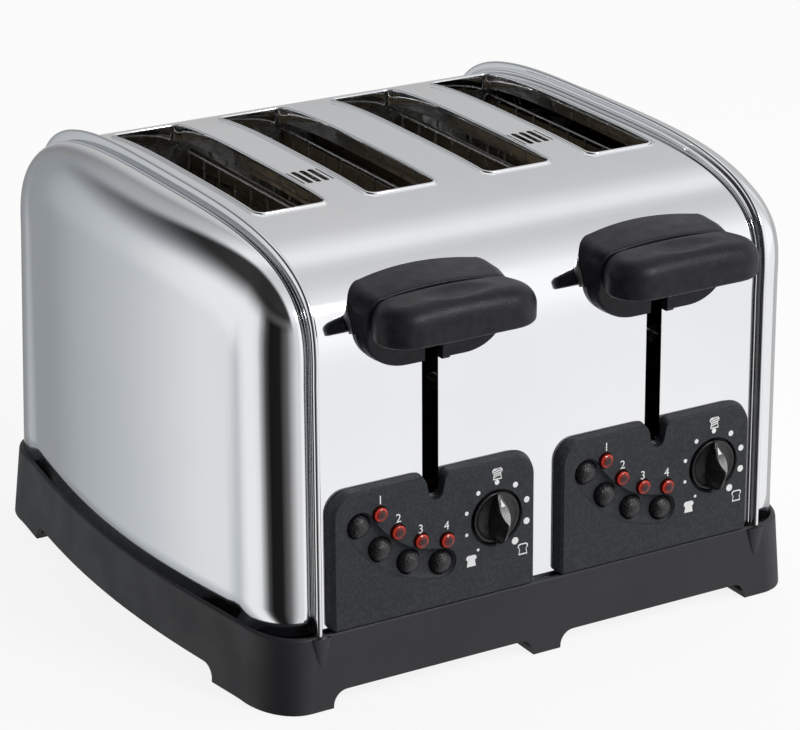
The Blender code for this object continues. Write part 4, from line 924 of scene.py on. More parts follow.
# Each stage: share of the draft, lift of the lower edge as a share of the round, depth below the face
panel_stages = ((0.0, 0.0, panel_proud - fit_gap), (0.49, 0.0, 0.00145), (0.545, 0.01, 0.00115))
panel_stages += ((0.60, 0.04, 0.00098), (0.93, 0.70, 0.00016), (0.97, 0.86, 0.00005), (1.0, 1.0, 0.0))
panel_plastic = surface(
    "panel_plastic",
    (0.028, 0.030, 0.035),
    ((700, 3), (0.019, 0.021, 0.025), (0.029, 0.031, 0.037), 0.42, 0.62),
    ((90, 3), 0.44, 0.56),
    ((1900, 2), 0.45, 0.0003),
    ((25, 2), 0.05, 0.0005),
    Specular_IOR_Level=0.26,
)
for side, name in both_ends:
    x = side * lever_x
    rings = []
    for share, lift_share, below in panel_stages:
        rings.append((panel_outline(x, share, lift_share * panel_round), panel_proud - below))
    panel = leaning("moulded_panel_" + name, rings)
    rings = []
    for i in range(trough_steps + 1):
        share = i / trough_steps
        half = recess_half * (1 - trough_narrows * (1 - share) ** trough_side_power)
        depth = recess_depth * (1 - share**2) ** trough_floor_power
        rings.append((trough(x, half), panel_proud - depth))
    rings.append((trough(x, recess_half * 1.05), panel_proud + clear))
    tools = [leaning("trough_tool", rings)]
    knob_place = Vector((x + knob_x, face_y(knob_z), knob_z))
    tools.append(drilled("well_tool", knob_place, well_depth, knob_radius + knob_ring, 64, 0.0004))
    for across, z in button_places:
        place = Vector((x + across, face_y(z), z))
        tools.append(drilled("button_tool", place, panel_proud * 0.8, button_radius + fit_gap * 1.6))
    for across, z in lamp_places:
        place = Vector((x + across, face_y(z), z))
        tools.append(drilled("lamp_tool", place, panel_proud * 0.8, lamp_radius + fit_gap, 32, 0.0002))
    carved(panel, *tools)
    evened(panel)
    dressed(panel, panel_plastic, "panel_plastic", "toaster", "control_panel_" + name)

# Panel prints: nine white dots that grow round the knob, three slices of bread for how brown it
# gets, and a plain number over each lamp. They are pad printed on the panels' faces.
print_thick = 0.00005
print_sunk = 0.0001
dot_ring = 0.0168
dot_count = 9
dot_turn = math.radians(36)
dot_first = 0.00072
dot_last = 0.00175
dot_sides = 20
figure_high = 0.0042
slice_wide = 0.0055
slice_high = 0.0054
slice_line = 0.00055
hatch_count = 4
hatch_low = slice_high * -0.30
hatch_pitch = slice_high * 0.19
hatch_half = slice_wide * 0.34
hatch_slope = slice_line * 1.6
hatch_line = slice_line * 1.1
slice_places = ((0.0321, 0.0934, "hatched"), (0.0460, 0.0542, "outline"), (0.0184, 0.0545, "solid"))
figure_places = ((-0.0288, 0.0941), (-0.0196, 0.0836), (-0.0081, 0.0760), (0.0054, 0.0746))


def stamped(bm, outline, hole=None):
    """A print on the panel's face: an outline in x and z, or the band between it and its hole."""
    layers = [(outline, print_sunk), (outline, -print_thick)]
    if hole:
        layers += [(hole, -print_thick), (hole, print_sunk)]
    rings = [[(x, face_y(z) + depth, z) for x, z in line] for line, depth in layers]
    skinned(bm, rings, looped=bool(hole))


def bread(x, z, wide, high, steps=8):
    """A slice of bread's outline: a square foot under two round shoulders."""
    half, shoulder = wide / 2, high * 0.24
    points = [(x - half * 0.86, z - high / 2), (x + half * 0.86, z - high / 2)]
    for side, first in ((1, -math.pi / 2.6), (-1, math.pi / 2)):
        middle_x, middle_z = x + side * (half - shoulder), z + high / 2 - shoulder
        last = math.pi / 2 if side > 0 else math.pi + math.pi / 2.6
        points += swing((middle_x, middle_z), shoulder, first, last - first, steps)
    return points


def copies_tree():
    """A tree that repeats its input along a step, as real meshes in one material."""
    tree = bpy.data.node_groups.new("row_of_copies", "GeometryNodeTree")
    face = tree.interface
    face.new_socket("Geometry", in_out="INPUT", socket_type="NodeSocketGeometry")
    for name, kind in (("Count", "Int"), ("Step", "Vector"), ("Material", "Material")):
        face.new_socket(name, in_out="INPUT", socket_type="NodeSocket" + kind)
    face.new_socket("Geometry", in_out="OUTPUT", socket_type="NodeSocketGeometry")
    nodes = Nodes(tree)
    given = nodes.add("NodeGroupInput").outputs
    index = nodes.add("GeometryNodeInputIndex").outputs[0]
    step = nodes.add("ShaderNodeVectorMath", {0: given["Step"], "Scale": index}, operation="SCALE").outputs[0]
    points = nodes.add("GeometryNodePoints", {"Count": given["Count"], "Position": step}).outputs[0]
    inputs = {"Points": points, "Instance": given["Geometry"]}
    copies = nodes.add("GeometryNodeInstanceOnPoints", inputs).outputs[0]
    real = nodes.add("GeometryNodeRealizeInstances", {"Geometry": copies}).outputs[0]
    painted = nodes.add("GeometryNodeSetMaterial", {"Geometry": real, "Material": given["Material"]})
    nodes.add("NodeGroupOutput", {0: painted.outputs[0]})
    return tree


row_of_copies = copies_tree()


def repeated(piece, count, material, step):
    """The piece repeated by the tree, as one plain mesh."""
    modifier = piece.modifiers.new("row", "NODES")
    modifier.node_group = row_of_copies
    values = {"Count": count, "Step": Vector(step), "Material": material}
    for item in row_of_copies.interface.items_tree:
        if item.in_out == "INPUT" and item.name in values:
            modifier[item.identifier] = values[item.name]
    return plain(piece)


print_white = surface(
    "print_white",
    (0.80, 0.80, 0.79),
    ((1500, 2), (0.72, 0.72, 0.71), (0.84, 0.84, 0.83)),
    ((300, 2), 0.42, 0.60),
    ((2600, 2), 0.15, 0.0001),
)
figures = {}
for number in range(1, 5):
    text = bpy.data.curves.new("figure", "FONT")
    text.body = str(number)
    text.size = figure_high * 1.38
    text.align_x = "CENTER"
    text.resolution_u = 4
    drawn = placed("figure", text)
    bpy.context.view_layer.update()
    mesh = bpy.data.meshes.new_from_object(drawn.evaluated_get(bpy.context.evaluated_depsgraph_get()))
    bpy.data.objects.remove(drawn)
    figures[number] = mesh
for side, name in both_ends:
    x = side * lever_x
    bm = bmesh.new()
    for across, z, form in slice_places:
        outline = bread(x + across, z, slice_wide, slice_high)
        inner = bread(x + across, z, slice_wide - 2 * slice_line, slice_high - 2 * slice_line)
        stamped(bm, outline, None if form == "solid" else inner)
        if form != "hatched":
            continue
        for row in range(hatch_count):
            low = z + hatch_low + hatch_pitch * row
            left, right = x + across - hatch_half, x + across + hatch_half
            corners = [(left, low), (right, low + hatch_slope), (right, low + hatch_slope + hatch_line)]
            stamped(bm, corners + [(left, low + hatch_line)])
    for number, (across, z) in enumerate(figure_places, 1):
        figure = bmesh.new()
        figure.from_mesh(figures[number])
        bmesh.ops.remove_doubles(figure, verts=figure.verts, dist=1e-6)
        extruded = bmesh.ops.extrude_face_region(figure, geom=figure.faces)["geom"]
        raised = {v for v in extruded if isinstance(v, bmesh.types.BMVert)}
        for vertex in figure.verts:
            depth = -print_thick if vertex in raised else print_sunk
            px, pz = x + across + vertex.co.x, z - figure_high / 2 + vertex.co.y
            vertex.co = (px, face_y(pz) + depth, pz)
        joined = bpy.data.meshes.new("figure")
        figure.to_mesh(joined)
        figure.free()
        bm.from_mesh(joined)
        bpy.data.meshes.remove(joined)
    prints = made("panel_print_" + name, bm, 30)
    dressed(prints, print_white, "panel_plastic", "toaster")
    bm = bmesh.new()
    ring = circle(dot_sides)
    # Each dot is drawn at the panel's own lean, round the knob's centre
    for i in range(dot_count):
        angle = (i - (dot_count - 1) / 2) * dot_turn
        radius = dot_first + (dot_last - dot_first) * i / (dot_count - 1)
        middle_x = x + knob_x + dot_ring * math.sin(angle)
        middle_z = knob_z + dot_ring * math.cos(angle)
        stamped(bm, [(middle_x + radius * c, middle_z + radius * s) for c, s in ring])
    dots = made("browning_dots_" + name, bm, 30)
    dressed(dots, print_white, "panel_plastic", "toaster")

# Browning knobs: turned from black plastic with a thin raised rim round a shallow dish, and across
# them a fin with a leaf-shaped face at its upper end, a pale grainy sheen painted over that face,
# and a white mark. Their shafts go through to the boards.
knob_top = 0.0019
knob_rim = 0.0012
knob_edge = 0.0005
dish_depth = 0.0008
fin_foot = 0.0004
# Along the fin: height from the knob's middle, half widths at its foot and crest, reach off the face
fin_sections = (
    (0.01170, 0.0007, 0.00030, 0.0013),
    (0.01100, 0.0012, 0.00080, 0.0019),
    (0.00980, 0.0018, 0.00130, 0.0028),
    (0.00800, 0.0024, 0.00180, 0.0043),
    (0.00600, 0.0031, 0.00220, 0.0059),
    (0.00400, 0.0036, 0.00220, 0.0075),
    (0.00220, 0.0039, 0.00165, 0.00895),
    (0.00090, 0.0041, 0.00085, 0.0100),
    (0.00000, 0.0042, 0.00020, 0.0107),
    (-0.0020, 0.0042, 0.00030, 0.0102),
    (-0.0045, 0.0041, 0.00050, 0.0094),
    (-0.0070, 0.0038, 0.00070, 0.0084),
    (-0.0090, 0.0033, 0.00085, 0.0074),
    (-0.0104, 0.0027, 0.00095, 0.0060),
    (-0.0113, 0.0020, 0.00085, 0.0040),
    (-0.0118, 0.0013, 0.00060, 0.0016),
)
leaf_high = 0.0107
leaf_slope = (leaf_high - 0.0014) / 0.0116
leaf_near = 0.00035
# Heights on the leaf face, above the knob's middle, where the painted sheen fades out and where it is full
grain_sheen_start = 0.0068
grain_sheen_full = 0.0038
mark_half = 0.00105
mark_low = 0.0070
mark_high = 0.0099
shaft_radius = 0.0030


def turned(name, profile, centre, sides=64, angle=40):
    """A profile of (radius, distance in front of the centre) turned about a line along Y."""
    bm = bmesh.new()
    skinned(bm, [disc(centre, max(radius, 1e-5), centre.y - proud, sides) for radius, proud in profile])
    return made(name, bm, angle)


def dome(radius, foot, high, steps=12):
    """A dome's profile for turning, from its crown to its foot."""
    return [(radius * far, foot + high * (1 - near)) for near, far in quarter(steps)]


black_plastic = surface(
    "satin_black_plastic",
    (0.012, 0.012, 0.013),
    ((200, 3), (0.009, 0.0095, 0.012), (0.016, 0.0165, 0.020)),
    ((120, 3), 0.30, 0.40),
    ((1500, 2), 0.50, 0.0003),
    Specular_IOR_Level=0.20,
)
knob_plastic, nodes, shader = finish("knob_black_plastic", (0.010, 0.010, 0.011))
tinted(nodes, shader, noise(nodes, 300, 2), (0.008, 0.008, 0.009), (0.014, 0.014, 0.015))
rough(nodes, shader, noise(nodes, 150, 3), 0.22, 0.32)
bumped(nodes, shader, (noise(nodes, 2200, 2), 0.20, 0.0002))
# Painted sheen: the fin's leaf face turns pale grey through fine grain, standing in for the light that the
# grain catches
grain_sheen = nodes.add("ShaderNodeAttribute", attribute_name="grain_sheen").outputs["Fac"]
grain = nodes.span(noise(nodes, 2600, 3, roughness=0.7), 0.35, 0.62)
base_tone = shader.inputs["Base Color"].links[0].from_socket
sheened = nodes.mix(nodes.math("MULTIPLY", grain_sheen, grain), base_tone, (0.42, 0.42, 0.41, 1))
nodes.tree.links.new(sheened, shader.inputs["Base Color"])
for side, name in both_ends:
    x = side * lever_x
    knob_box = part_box("browning_knob_" + name)
    centre = Vector((x + knob_x, face_y(knob_z) + knob_well, knob_z))
    dish = knob_top - dish_depth
    rim_x = knob_radius - knob_rim
    profile = [(0, dish), (knob_radius * 0.5, dish), (rim_x - 0.0016, dish + 0.0001)]
    profile += [(rim_x - 0.0006, dish + dish_depth * 0.45), (rim_x, knob_top - 0.0001)]
    for near, far in quarter(5):
        profile.append((knob_radius - knob_edge * (1 - far), knob_top - knob_edge * near))
    shaft_back = centre.y - knob_box[1].y
    profile += [(knob_radius, fit_gap * 1.2), (shaft_radius, fit_gap)]
    profile += [(shaft_radius, shaft_back), (0, shaft_back)]
    knob = turned("turned_knob_" + name, profile, centre)
    rings = []
    for along, foot, crest, reach in fin_sections:
        right = []
        for share in (0, 0.25, 0.5, 0.75, 0.93):
            right.append((foot + (crest - foot) * share**0.8, (reach - dish) * share + dish))
        right.append((crest * 0.93, reach - 0.00002))
        ring = [(a, centre.y - knob_well - h, centre.z + along) for a, h in mirrored(centre.x, right)]
        for i in (0, -1):
            x_foot, y_foot, z_foot = ring[i]
            ring[i] = (x_foot, y_foot + (knob_well + fin_foot), z_foot)
        rings.append(ring)
    carved(knob, loft("knob_fin", rings), operation="UNION")
    evened(knob, 0, 30)
    # How much painted sheen each point of the leaf face gets: full near the knob's middle, none above where
    # it fades out
    shares = []
    for vertex in knob.data.vertices:
        along = vertex.co.z - centre.z
        height = centre.y - knob_well - vertex.co.y
        on_leaf = 0 <= along < grain_sheen_start and abs(height - leaf_high + leaf_slope * along) < leaf_near
        shares.append(min(1, (grain_sheen_start - along) / (grain_sheen_start - grain_sheen_full)) if on_leaf else 0)
    knob.data.attributes.new("grain_sheen", "FLOAT", "POINT").data.foreach_set("value", shares)
    dressed(knob, knob_plastic, "black_plastic", "browning_knob_" + name, "browning_knob_" + name)
    rings = []
    for depth in (-print_sunk, print_thick):
        ring = []
        for across, along in ((-mark_half, mark_low), (mark_half, mark_low), (0, mark_high)):
            reach = knob_well + leaf_high - leaf_slope * along + depth
            ring.append((centre.x + across, centre.y - reach, centre.z + along))
        rings.append(ring)
    mark = loft("knob_mark_" + name, rings, angle=30)
    dressed(mark, print_white, "panel_plastic", "browning_knob_" + name)

# Push buttons: black domes that stand in the trough, each on a stem that reaches its switch.
button_proud = 0.0022
button_foot = 0.0036
button_flange = button_radius + 0.0011
flange_slope = 0.0012
flange_back = button_foot + 0.0020
dome_foot = recess_depth * 0.9
stem_radius = 0.0018
button_plastic = surface(
    "button_black_plastic",
    (0.011, 0.011, 0.012),
    ((900, 3), (0.005, 0.005, 0.006), (0.016, 0.016, 0.018)),
    ((500, 3), 0.20, 0.34),
    ((1100, 3), 0.80, 0.0006),
)
for side, name in both_ends:
    for number, (across, z) in enumerate(button_places, 1):
        node = "button_%d_%s" % (number, name)
        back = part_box(node)[1].y
        place = Vector((side * lever_x + across, face_y(z), z))
        profile = dome(button_radius, -dome_foot, button_proud + dome_foot)
        profile += [(button_radius, -button_foot), (button_flange, -button_foot - flange_slope)]
        profile += [(button_flange, -flange_back), (stem_radius, -flange_back)]
        profile += [(stem_radius, place.y - back), (0, place.y - back)]
        button = turned("domed_" + node, profile, place, 40)
        dressed(button, button_plastic, "black_plastic", node, node)

# Lenses: clear red domes over small lights, moulded as one light guide behind each panel. Their colour
# paints light and shade: a near-black core in each dome's middle, a bright orange-red ring near its edge and
# a faint red glow.
lamp_proud = 0.0006
lamp_dome = 0.0020
lamp_seat = 0.0040
bar_radius = 0.0008
lamp_sides = 24
red_lens, nodes, shader = finish("clear_red_lens", (0.60, 0.012, 0.006), IOR=1.49)
facing = nodes.add("ShaderNodeAttribute", attribute_name="reach").outputs["Fac"]
# Painted light and shade from each dome's middle to its edge: a near-black core, a bright orange-red ring and
# a dark edge. The emission paints a faint red glow.
painted_lens_tones = ((0.0, (0.012, 0.001, 0.001, 1)), (0.34, (0.030, 0.001, 0.001, 1)))
painted_lens_tones += ((0.52, (0.09, 0.003, 0.002, 1)), (0.72, (0.22, 0.007, 0.004, 1)))
painted_lens_tones += ((0.87, (0.66, 0.055, 0.028, 1)), (0.96, (0.04, 0.002, 0.001, 1)))
red = nodes.ramp(facing, painted_lens_tones)
nodes.tree.links.new(red, shader.inputs["Base Color"])
nodes.tree.links.new(red, shader.inputs["Emission Color"])
shader.inputs["Emission Strength"].default_value = 0.12
rough(nodes, shader, noise(nodes, 900, 2), 0.06, 0.16)
bumped(nodes, shader, (noise(nodes, 700, 1), 0.35, 0.0006))
for side, name in both_ends:
    bm = bmesh.new()
    shares = []
    for across, z in lamp_places:
        place = Vector((side * lever_x + across, face_y(z), z))
        profile = dome(lamp_radius, lamp_proud, lamp_dome)
        profile += [(lamp_radius, -lamp_seat), (bar_radius, -lamp_seat), (0, -lamp_seat)]
        rings = [disc(place, max(radius, 1e-5), place.y - proud, lamp_sides) for radius, proud in profile]
        for row, (radius, _) in zip(skinned(bm, rings), profile):
            shares += [radius / lamp_radius] * len(row)
    for (x0, z0), (x1, z1) in zip(lamp_places, lamp_places[1:]):
        start = Vector((side * lever_x + x0, face_y(z0) + lamp_seat - bar_radius, z0))
        end = Vector((side * lever_x + x1, face_y(z1) + lamp_seat - bar_radius, z1))
        turn = (end - start).to_track_quat("Z", "Y").to_matrix()
        hexagon = [Vector((bar_radius * math.cos(a), bar_radius * math.sin(a), 0)) for a in range(6)]
        rings = [[point + turn @ corner for corner in hexagon] for point in (start, end)]
        for row in skinned(bm, rings):
            shares += [1.0] * len(row)
    lenses = made("red_lenses_" + name, bm, 30)
    lenses.data.attributes.new("reach", "FLOAT", "POINT").data.foreach_set("value", shares)
    dressed(lenses, red_lens, "red_lens", "toaster", "light_guide_" + name)

# Lever hoods: fixed black shrouds over the top of the lever slots, a broad block that carries on the
# line of the grip and under it an apron with round corners, cut away in the middle for the arm.
hood_low_z = 0.1705
hood_edge = 0.0010
hood_wall = 0.0030
hood_gap = 0.0003
# Sections of the block: distance behind its front, half width, height at the side and middle, corner
hood_sections = (
    (0.0000, 0.0364, 0.1880, 0.1902, 0.0080),
    (0.0094, 0.0390, 0.1890, 0.1911, 0.0090),
    (0.0315, 0.0392, 0.1914, 0.1928, 0.0110),
)
skirt_back = 0.0020
skirt_edge = 0.0016
skirt_half_front = 0.0346
skirt_half_rear = 0.0380
skirt_flat = 0.0150
skirt_corner_z = 0.0170
hood_slot_left = 0.0060
hood_slot_right = 0.0032
hood_slot_low_z = 0.1500
hood_slot_top_z = 0.1860
lug_right = 0.0076
lug_drop = 0.0008

hood_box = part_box("lever_hood_right")
hood_front_y = hood_box[0].y
skirt_z_low = hood_box[0].z


def hood_outline(x, half, side_z, top_z, corner, drawn_in=0.0):
    """The hood's upper block seen from the front."""
    right = [(half * 0.5, hood_low_z), (half - drawn_in, hood_low_z)]
    for near, far in quarter(12):
        right.append((half - drawn_in - corner * near, side_z - drawn_in - corner * (1 - far)))
    start = right[-1][0]
    for i in range(1, 9):
        share = i / 9
        right.append((start * (1 - share), side_z - drawn_in + (top_z - side_z) * (1 - (1 - share) ** 2)))
    outline = right + [(0, top_z - drawn_in)] + [(-across, z) for across, z in reversed(right)]
    return [(x + across, z) for across, z in outline]


def skirt_outline(x, half, drawn_in=0.0):
    """The hood's apron seen from the front: a flat bottom between wide round corners."""
    right = [(skirt_flat, skirt_z_low + drawn_in * 0.5)]
    reach = half - skirt_flat - drawn_in
    for near, far in quarter(16, 1):
        rise = (skirt_corner_z - drawn_in * 0.5) * near
        right.append((skirt_flat + reach * far, skirt_z_low + drawn_in * 0.5 + rise))
    right.append((half - drawn_in, hood_low_z + hood_wall))
    return mirrored(x, right)


def block(name, low, high, edge=0.0):
    """A box with broken edges, from its low to its high corner."""
    outline = rounded(low[0], high[0], low[1], high[1], max(edge, 1e-5), 2)
    middle_x, middle_y = (low[0] + high[0]) / 2, (low[1] + high[1]) / 2
    rings = []
    for z, inset in ((low[2], edge), (low[2] + edge, 0), (high[2] - edge, 0), (high[2], edge)):
        ring = []
        for x, y in outline:
            sx = 1 - 2 * inset / (high[0] - low[0])
            sy = 1 - 2 * inset / (high[1] - low[1])
            ring.append((middle_x + (x - middle_x) * sx, middle_y + (y - middle_y) * sy, z))
        if not rings or (Vector(ring[0]) - Vector(rings[-1][0])).length > 1e-7:
            rings.append(ring)
    return loft(name, rings)


for side, name in both_ends:
    x = side * lever_x
    rings = []
    back, *first = hood_sections[0]
    for near, far in quarter(4):
        outline = hood_outline(x, *first, hood_edge * (1 - far))
        rings.append(facing_front(outline, hood_front_y + hood_edge * near))
    for (near, *from_sizes), (far, *to_sizes) in zip(hood_sections, hood_sections[1:]):
        for i in range(1, 7):
            share = i / 6
            sizes = [a + (b - a) * share for a, b in zip(from_sizes, to_sizes)]
            rings.append(facing_front(hood_outline(x, *sizes), hood_front_y + near + (far - near) * share))
    hood_rear_y = rings[-1][0][1]
    hood = loft("moulded_hood_" + name, rings)
    rings = []
    for near, far in quarter(5):
        outline = skirt_outline(x, skirt_half_front + skirt_edge, skirt_edge * (1 - far))
        rings.append(facing_front(outline, hood_front_y + skirt_back + skirt_edge * near))
    rings.append(facing_front(skirt_outline(x, skirt_half_rear), body_y - half_depth + clear))
    carved(hood, loft("apron", rings), operation="UNION")
    low = (x - skirt_flat, hood_front_y + skirt_back + hood_wall, skirt_z_low + hood_wall)
    hollow = block("hollow", low, (x + skirt_flat, hood_rear_y + clear, hood_slot_top_z))
    low = (x - hood_slot_left, hood_front_y - clear, hood_slot_low_z)
    notch = block("notch", low, (x + hood_slot_right, hood_rear_y + clear, hood_slot_top_z))
    across = [x + way * 2 * skirt_half_rear for way in (-1, 1)]
    inside = loft("inside", [[(a, y, z) for y, z in arch(hood_gap, body_bottom_z)] for a in across])
    carved(hood, hollow, notch, inside)
    low = (x + hood_slot_right, hood_front_y + skirt_back + skirt_edge * 0.5, skirt_z_low - lug_drop)
    high = (x + lug_right, body_y - half_depth - 2 * hood_gap, skirt_z_low + hood_wall)
    carved(hood, block("lug", low, high, 0.0003), operation="UNION")
    evened(hood, 0.0003, 50)
    dressed(hood, black_plastic, "black_plastic", "toaster", "lever_hood_" + name)

# Lever grips: soft-cornered black handles pressed on the tips of the lever arms, gently crowned
# across, rounded over to the front, and dished on top for a thumb.
grip_half_middle = 0.0393
grip_half_rear = 0.0364
grip_side_depth = 0.0108
grip_low_z = 0.1722
grip_top_z = 0.1902
grip_corner_x = 0.0160
grip_soft = 0.0012
grip_round = 0.0090
grip_edge = 0.0016
grip_crown = 0.0014
grip_crown_half = 0.0310
dish_half_x = 0.0180
dish_half_y = 0.0078
dish_behind = 0.0128
thumb_dish = 0.0015
top_inset = grip_round * 0.94
rear_share = 0.22
rear_points = 14
spine_share = 0.80
spine_stations = 8
spine_rings = 25
arm_half = 0.0016
arm_low_z = 0.1765
arm_high_z = 0.1835
arm_cover = 0.0085

grip_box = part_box("lever_grip_right")
grip_front_y, grip_rear_y = grip_box[0].y, grip_box[1].y
grip_middle_y = grip_rear_y - grip_side_depth
dish_y = grip_front_y + dish_behind
arm_tip_y = grip_front_y + arm_cover


def grip_outline(inset, rear_inset):
    """The grip's plan, drawn in, from the rear middle round the front."""
    half, rear_half = grip_half_middle - inset, grip_half_rear - inset
    wide, deep = grip_corner_x - inset, grip_middle_y - grip_front_y - inset
    rear_y = grip_rear_y - rear_inset
    right = [(rear_half * i / rear_points, rear_y) for i in range(rear_points)]
    for near, far in quarter(4):
        right.append((rear_half - grip_soft * (1 - far), rear_y - grip_soft * near))
    start_y = right[-1][1]
    for i in range(1, 8):
        share = i / 7
        across = rear_half + (half - rear_half) * math.sin(math.pi / 2 * share)
        right.append((across, start_y + (grip_middle_y - start_y) * share))
    for near, far in quarter(14, 1):
        right.append((half - wide * near, grip_front_y + inset + deep * (1 - far)))
    last = right[-1][0]
    right += [(last * (1 - i / 15), grip_front_y + inset) for i in range(1, 15)]
    return right + [(-across, y) for across, y in reversed(right[1:])]


def grip_top(across, y):
    """The grip's crown with the thumb dish sunk in it."""
    reach = (across / dish_half_x) ** 2 + ((y - dish_y) / dish_half_y) ** 2
    dish = thumb_dish * max(0, 1 - reach) ** 1.35
    return grip_top_z - grip_crown * (across / grip_crown_half) ** 2 - dish


for side, name in both_ends:
    x = side * lever_x
    rings = []
    for near, far in quarter(3):
        inset, rise = grip_edge * (1 - far), grip_edge * near
        rings.append([(x + a, y, grip_low_z + rise) for a, y in grip_outline(inset, inset * 0.6)])
    for near, far in quarter(12):
        inset, drop = top_inset * near, grip_round * (1 - far)
        outline = grip_outline(inset, inset * rear_share)
        rings.append([(x + a, y, grip_top(a, y) - drop) for a, y in outline])
    edge = grip_outline(top_inset, top_inset * rear_share)
    spine_y = (edge[0][1] + grip_front_y + top_inset) / 2
    spine_half = edge[rear_points][0] * spine_share
    station = spine_half / spine_stations
    for i in range(1, spine_rings + 1):
        share = i / spine_rings
        ring = []
        for across, y in edge:
            middle_x = round(max(-spine_half, min(spine_half, across)) / station) * station
            px, py = across + (middle_x - across) * share, y + (spine_y - y) * share
            ring.append((x + px, py, grip_top(px, py)))
        rings.append(ring)
    bm = bmesh.new()
    rows = skinned(bm, rings, capped=False)
    bm.faces.new(reversed(rows[0]))
    grip = made("moulded_grip_" + name, bm, 50)
    low = (x - arm_half - fit_gap, arm_tip_y - fit_gap, arm_low_z - fit_gap)
    high = (x + arm_half + fit_gap, grip_rear_y + clear, arm_high_z + fit_gap)
    carved(grip, block("arm_socket", low, high))
    evened(grip, 0, 50)
    dressed(grip, black_plastic, "black_plastic", "lever_" + name, "lever_grip_" + name)

# Carriages and bread racks: arms, sliders and cross bars pressed from sheet steel, which lift the
# toothed steel strips that the bread stands on. The carriages are painted near-black as the shade
# inside the body. They keep the shapes of the model's own solids.


def coated(material, *names):
    """Gives solids of the model that keep their shape their finish."""
    for name in names:
        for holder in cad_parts[name].material_slots:
            holder.material = material


# Painted shade: a near-black steel for the parts deep inside the body that show through the lever slots, dark
# as the shade there
shade_dark_steel = surface(
    "shade_dark_steel",
    (0.030, 0.031, 0.034),
    ((120, 3), (0.022, 0.022, 0.024), (0.040, 0.041, 0.046)),
    ((300, 3), 0.42, 0.60),
    ((1400, 2), 0.25, 0.0002),
    metallic=0.6,
)
wire_steel = surface(
    "bright_steel_wire",
    (0.58, 0.58, 0.57),
    ((160, 3), (0.46, 0.45, 0.43), (0.66, 0.66, 0.65)),
    ((500, 3), 0.22, 0.38),
    ((2000, 2, (1, 1, 0.05)), 0.20, 0.0002),
    metallic=1.0,
)
coated(shade_dark_steel, "carriage_left", "carriage_right")
coated(wire_steel, *["bread_rack_%d" % number for number in range(1, 5)])

# Bread guides: cages of bright wire that close on the bread from both sides. Each is a bent frame with
# upright wires spot-welded to it, hung from two long wires that slide in the walls' slots.
guide_wire = 0.0007
upright_wire = 0.0006
guide_count = 9
guide_tab = 0.0043
guide_corner = 0.0060
guide_hanger_zs = (0.1120, 0.1720)
wire_sides = 10


def ringed(centre, across, over, radius):
    """A round wire's outline about a point, spanned by two directions."""
    return [centre + (across * c + over * s) * radius for c, s in circle(wire_sides)]


def straight_wire(bm, start, end, radius, across, over):
    """A length of round wire with flat ends, added to a bmesh."""
    skinned(bm, [ringed(point, across, over, radius) for point in (start, end)])


side_way, rear_way, up_way = Vector((1, 0, 0)), Vector((0, 1, 0)), Vector((0, 0, 1))
for slot_number in range(1, 5):
    for which in ("left", "right"):
        place = "%d_%s" % (slot_number, which)
        node = "bread_guide_" + place
        low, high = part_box(node)
        middle_x = (low.x + high.x) / 2
        near_y, far_y = low.y + guide_tab + guide_wire, high.y - guide_tab - guide_wire
        low_z, high_z = low.z + guide_wire, high.z - guide_wire
        path = [Vector((middle_x, y, z)) for y, z in rounded(near_y, far_y, low_z, high_z, guide_corner)]
        rings = []
        for i, point in enumerate(path):
            along = (path[(i + 1) % len(path)] - path[i - 1]).normalized()
            rings.append(ringed(point, side_way, along.cross(side_way), guide_wire))
        bm = bmesh.new()
        skinned(bm, rings, looped=True)
        for z in guide_hanger_zs:
            ends = [Vector((middle_x, y, z)) for y in (low.y, high.y)]
            straight_wire(bm, *ends, guide_wire, side_way, up_way)
        cage = made("wire_cage_" + place, bm, 40)
        dressed(cage, wire_steel, "steel", node, node)
        pitch = (far_y - near_y) / (guide_count + 1)
        bm = bmesh.new()
        ends = [Vector((middle_x, near_y + pitch, z)) for z in (low_z, high_z)]
        straight_wire(bm, *ends, upright_wire, side_way, rear_way)
        wires = repeated(made("cage_wires_" + place, bm, 40), guide_count, wire_steel, (0, pitch, 0))
        dressed(wires, wire_steel, "steel", node)

# Heaters: sheets of mica wound with flat resistance ribbon, one between and one beside each two slots.
# Their tabs sit in the front and rear walls.
card_reach = 0.0043
card_half = 0.0005
ribbon_count = 15
ribbon_half = 0.0011
ribbon_edge = 0.00012
# Painted shade: the mica's own amber is darkened to about half its tone, as the cards are seen only deep in
# the shaded slots
mica = surface(
    "mica_darkened_as_shade",
    (0.15, 0.115, 0.07),
    ((60, 4, (1, 0.4, 1)), (0.10, 0.075, 0.045), (0.20, 0.155, 0.095)),
    ((90, 3), 0.25, 0.45),
    ((300, 3), 0.20, 0.0002),
)
ribbon = surface(
    "heater_ribbon",
    (0.30, 0.27, 0.24),
    ((200, 3), (0.20, 0.17, 0.15), (0.36, 0.33, 0.31)),
    ((400, 2), 0.30, 0.50),
    ((900, 2), 0.15, 0.0001),
    metallic=1.0,
)
for number in range(1, 7):
    node = "heater_card_%d" % number
    low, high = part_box(node)
    middle_x = (low.x + high.x) / 2
    near_y, far_y = low.y + card_reach, high.y - card_reach
    corners = ((middle_x - card_half, near_y, low.z), (middle_x + card_half, far_y, high.z))
    dressed(block("mica_card_%d" % number, *corners, ribbon_edge), mica, "mica", "toaster", node)
    pitch = (high.z - low.z) / (ribbon_count + 1)
    corners = (
        (low.x, near_y + card_reach, low.z + pitch - ribbon_half),
        (high.x, far_y - card_reach, low.z + pitch + ribbon_half),
    )
    wound = repeated(block("ribbon_%d" % number, *corners, ribbon_edge), ribbon_count, ribbon, (0, 0, pitch))
    dressed(wound, ribbon, "mica", "toaster")
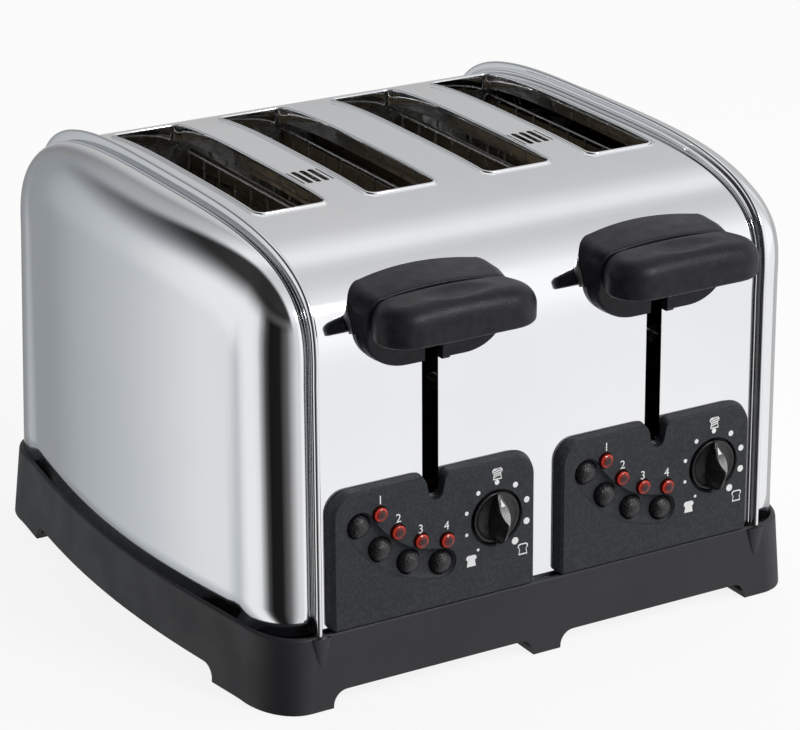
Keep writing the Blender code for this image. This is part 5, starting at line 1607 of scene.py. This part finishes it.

# Magnets, rods and lift springs: a lacquered coil holds each lever down until its time is up, and the
# slider runs on an oiled rod inside a spring of round wire. Rod and spring are painted near-black as
# the shade behind the lever slot.
coil_copper = surface(
    "lacquered_copper",
    (0.34, 0.13, 0.05),
    ((40, 2, (1, 1, 30)), (0.24, 0.085, 0.03), (0.42, 0.17, 0.07)),
    ((300, 2), 0.25, 0.40),
    ((40, 1, (1, 1, 60)), 0.60, 0.0003),
    metallic=0.8,
)
for _, name in both_ends:
    coated(coil_copper, "magnet_" + name)
    coated(shade_dark_steel, "guide_rod_" + name, "lift_spring_" + name)

# Timer boards: green lacquered boards behind the panels, with the knob's potentiometer.
lacquer = surface(
    "board_lacquer",
    (0.008, 0.030, 0.016),
    ((500, 3), (0.005, 0.018, 0.010), (0.010, 0.038, 0.020)),
    ((200, 2), 0.28, 0.42),
    ((900, 2, (1, 1, 0.1)), 0.30, 0.0002),
    Coat_Weight=0.4,
)
coated(lacquer, "circuit_board_left", "circuit_board_right")

# Chassis, walls and bottom plate: pressed from galvanised sheet, with the crumb windows and the slots
# of the chamber. The front wall is painted near-black as the shade behind the lever slots.
sheet_steel, nodes, shader = finish("galvanised_sheet", (0.50, 0.51, 0.52), 1.0)
spangle = nodes.add("ShaderNodeTexVoronoi", {"Scale": 140.0}).outputs["Color"]
tinted(nodes, shader, spangle, (0.42, 0.43, 0.44), (0.60, 0.61, 0.62))
rough(nodes, shader, noise(nodes, 160, 3), 0.32, 0.50)
bumped(nodes, shader, (noise(nodes, 700, 3), 0.12, 0.0002))
coated(sheet_steel, "chassis", "rear_wall", "bottom_plate")
coated(shade_dark_steel, "front_wall")

# Crumb trays: folded from brushed steel, one under each pair of slots, pulled out at the rear by the
# lip across their face.
tray_steel = surface(
    "brushed_tray_steel",
    (0.60, 0.60, 0.60),
    ((50, 3, (0.05, 1, 1)), (0.52, 0.52, 0.52), (0.66, 0.66, 0.66)),
    ((700, 3, (0.03, 1, 1)), 0.28, 0.38),
    ((3200, 2, (0.02, 1, 1)), 0.06, 0.0001),
    metallic=1.0,
)
coated(tray_steel, "crumb_tray_left", "crumb_tray_right")

# Cord bush: a black rubber grommet snapped into the base's rear, which the mains lead leaves by.
rubber = surface(
    "black_rubber",
    (0.016, 0.016, 0.016),
    ((400, 3), (0.012, 0.012, 0.012), (0.022, 0.022, 0.022)),
    ((300, 2), 0.55, 0.75),
    ((1500, 2), 0.40, 0.0002),
)
coated(rubber, "cord_bush")

sizes = {"cad": [list(corner) for corner in cad_box], "visual": [list(corner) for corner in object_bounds()]}
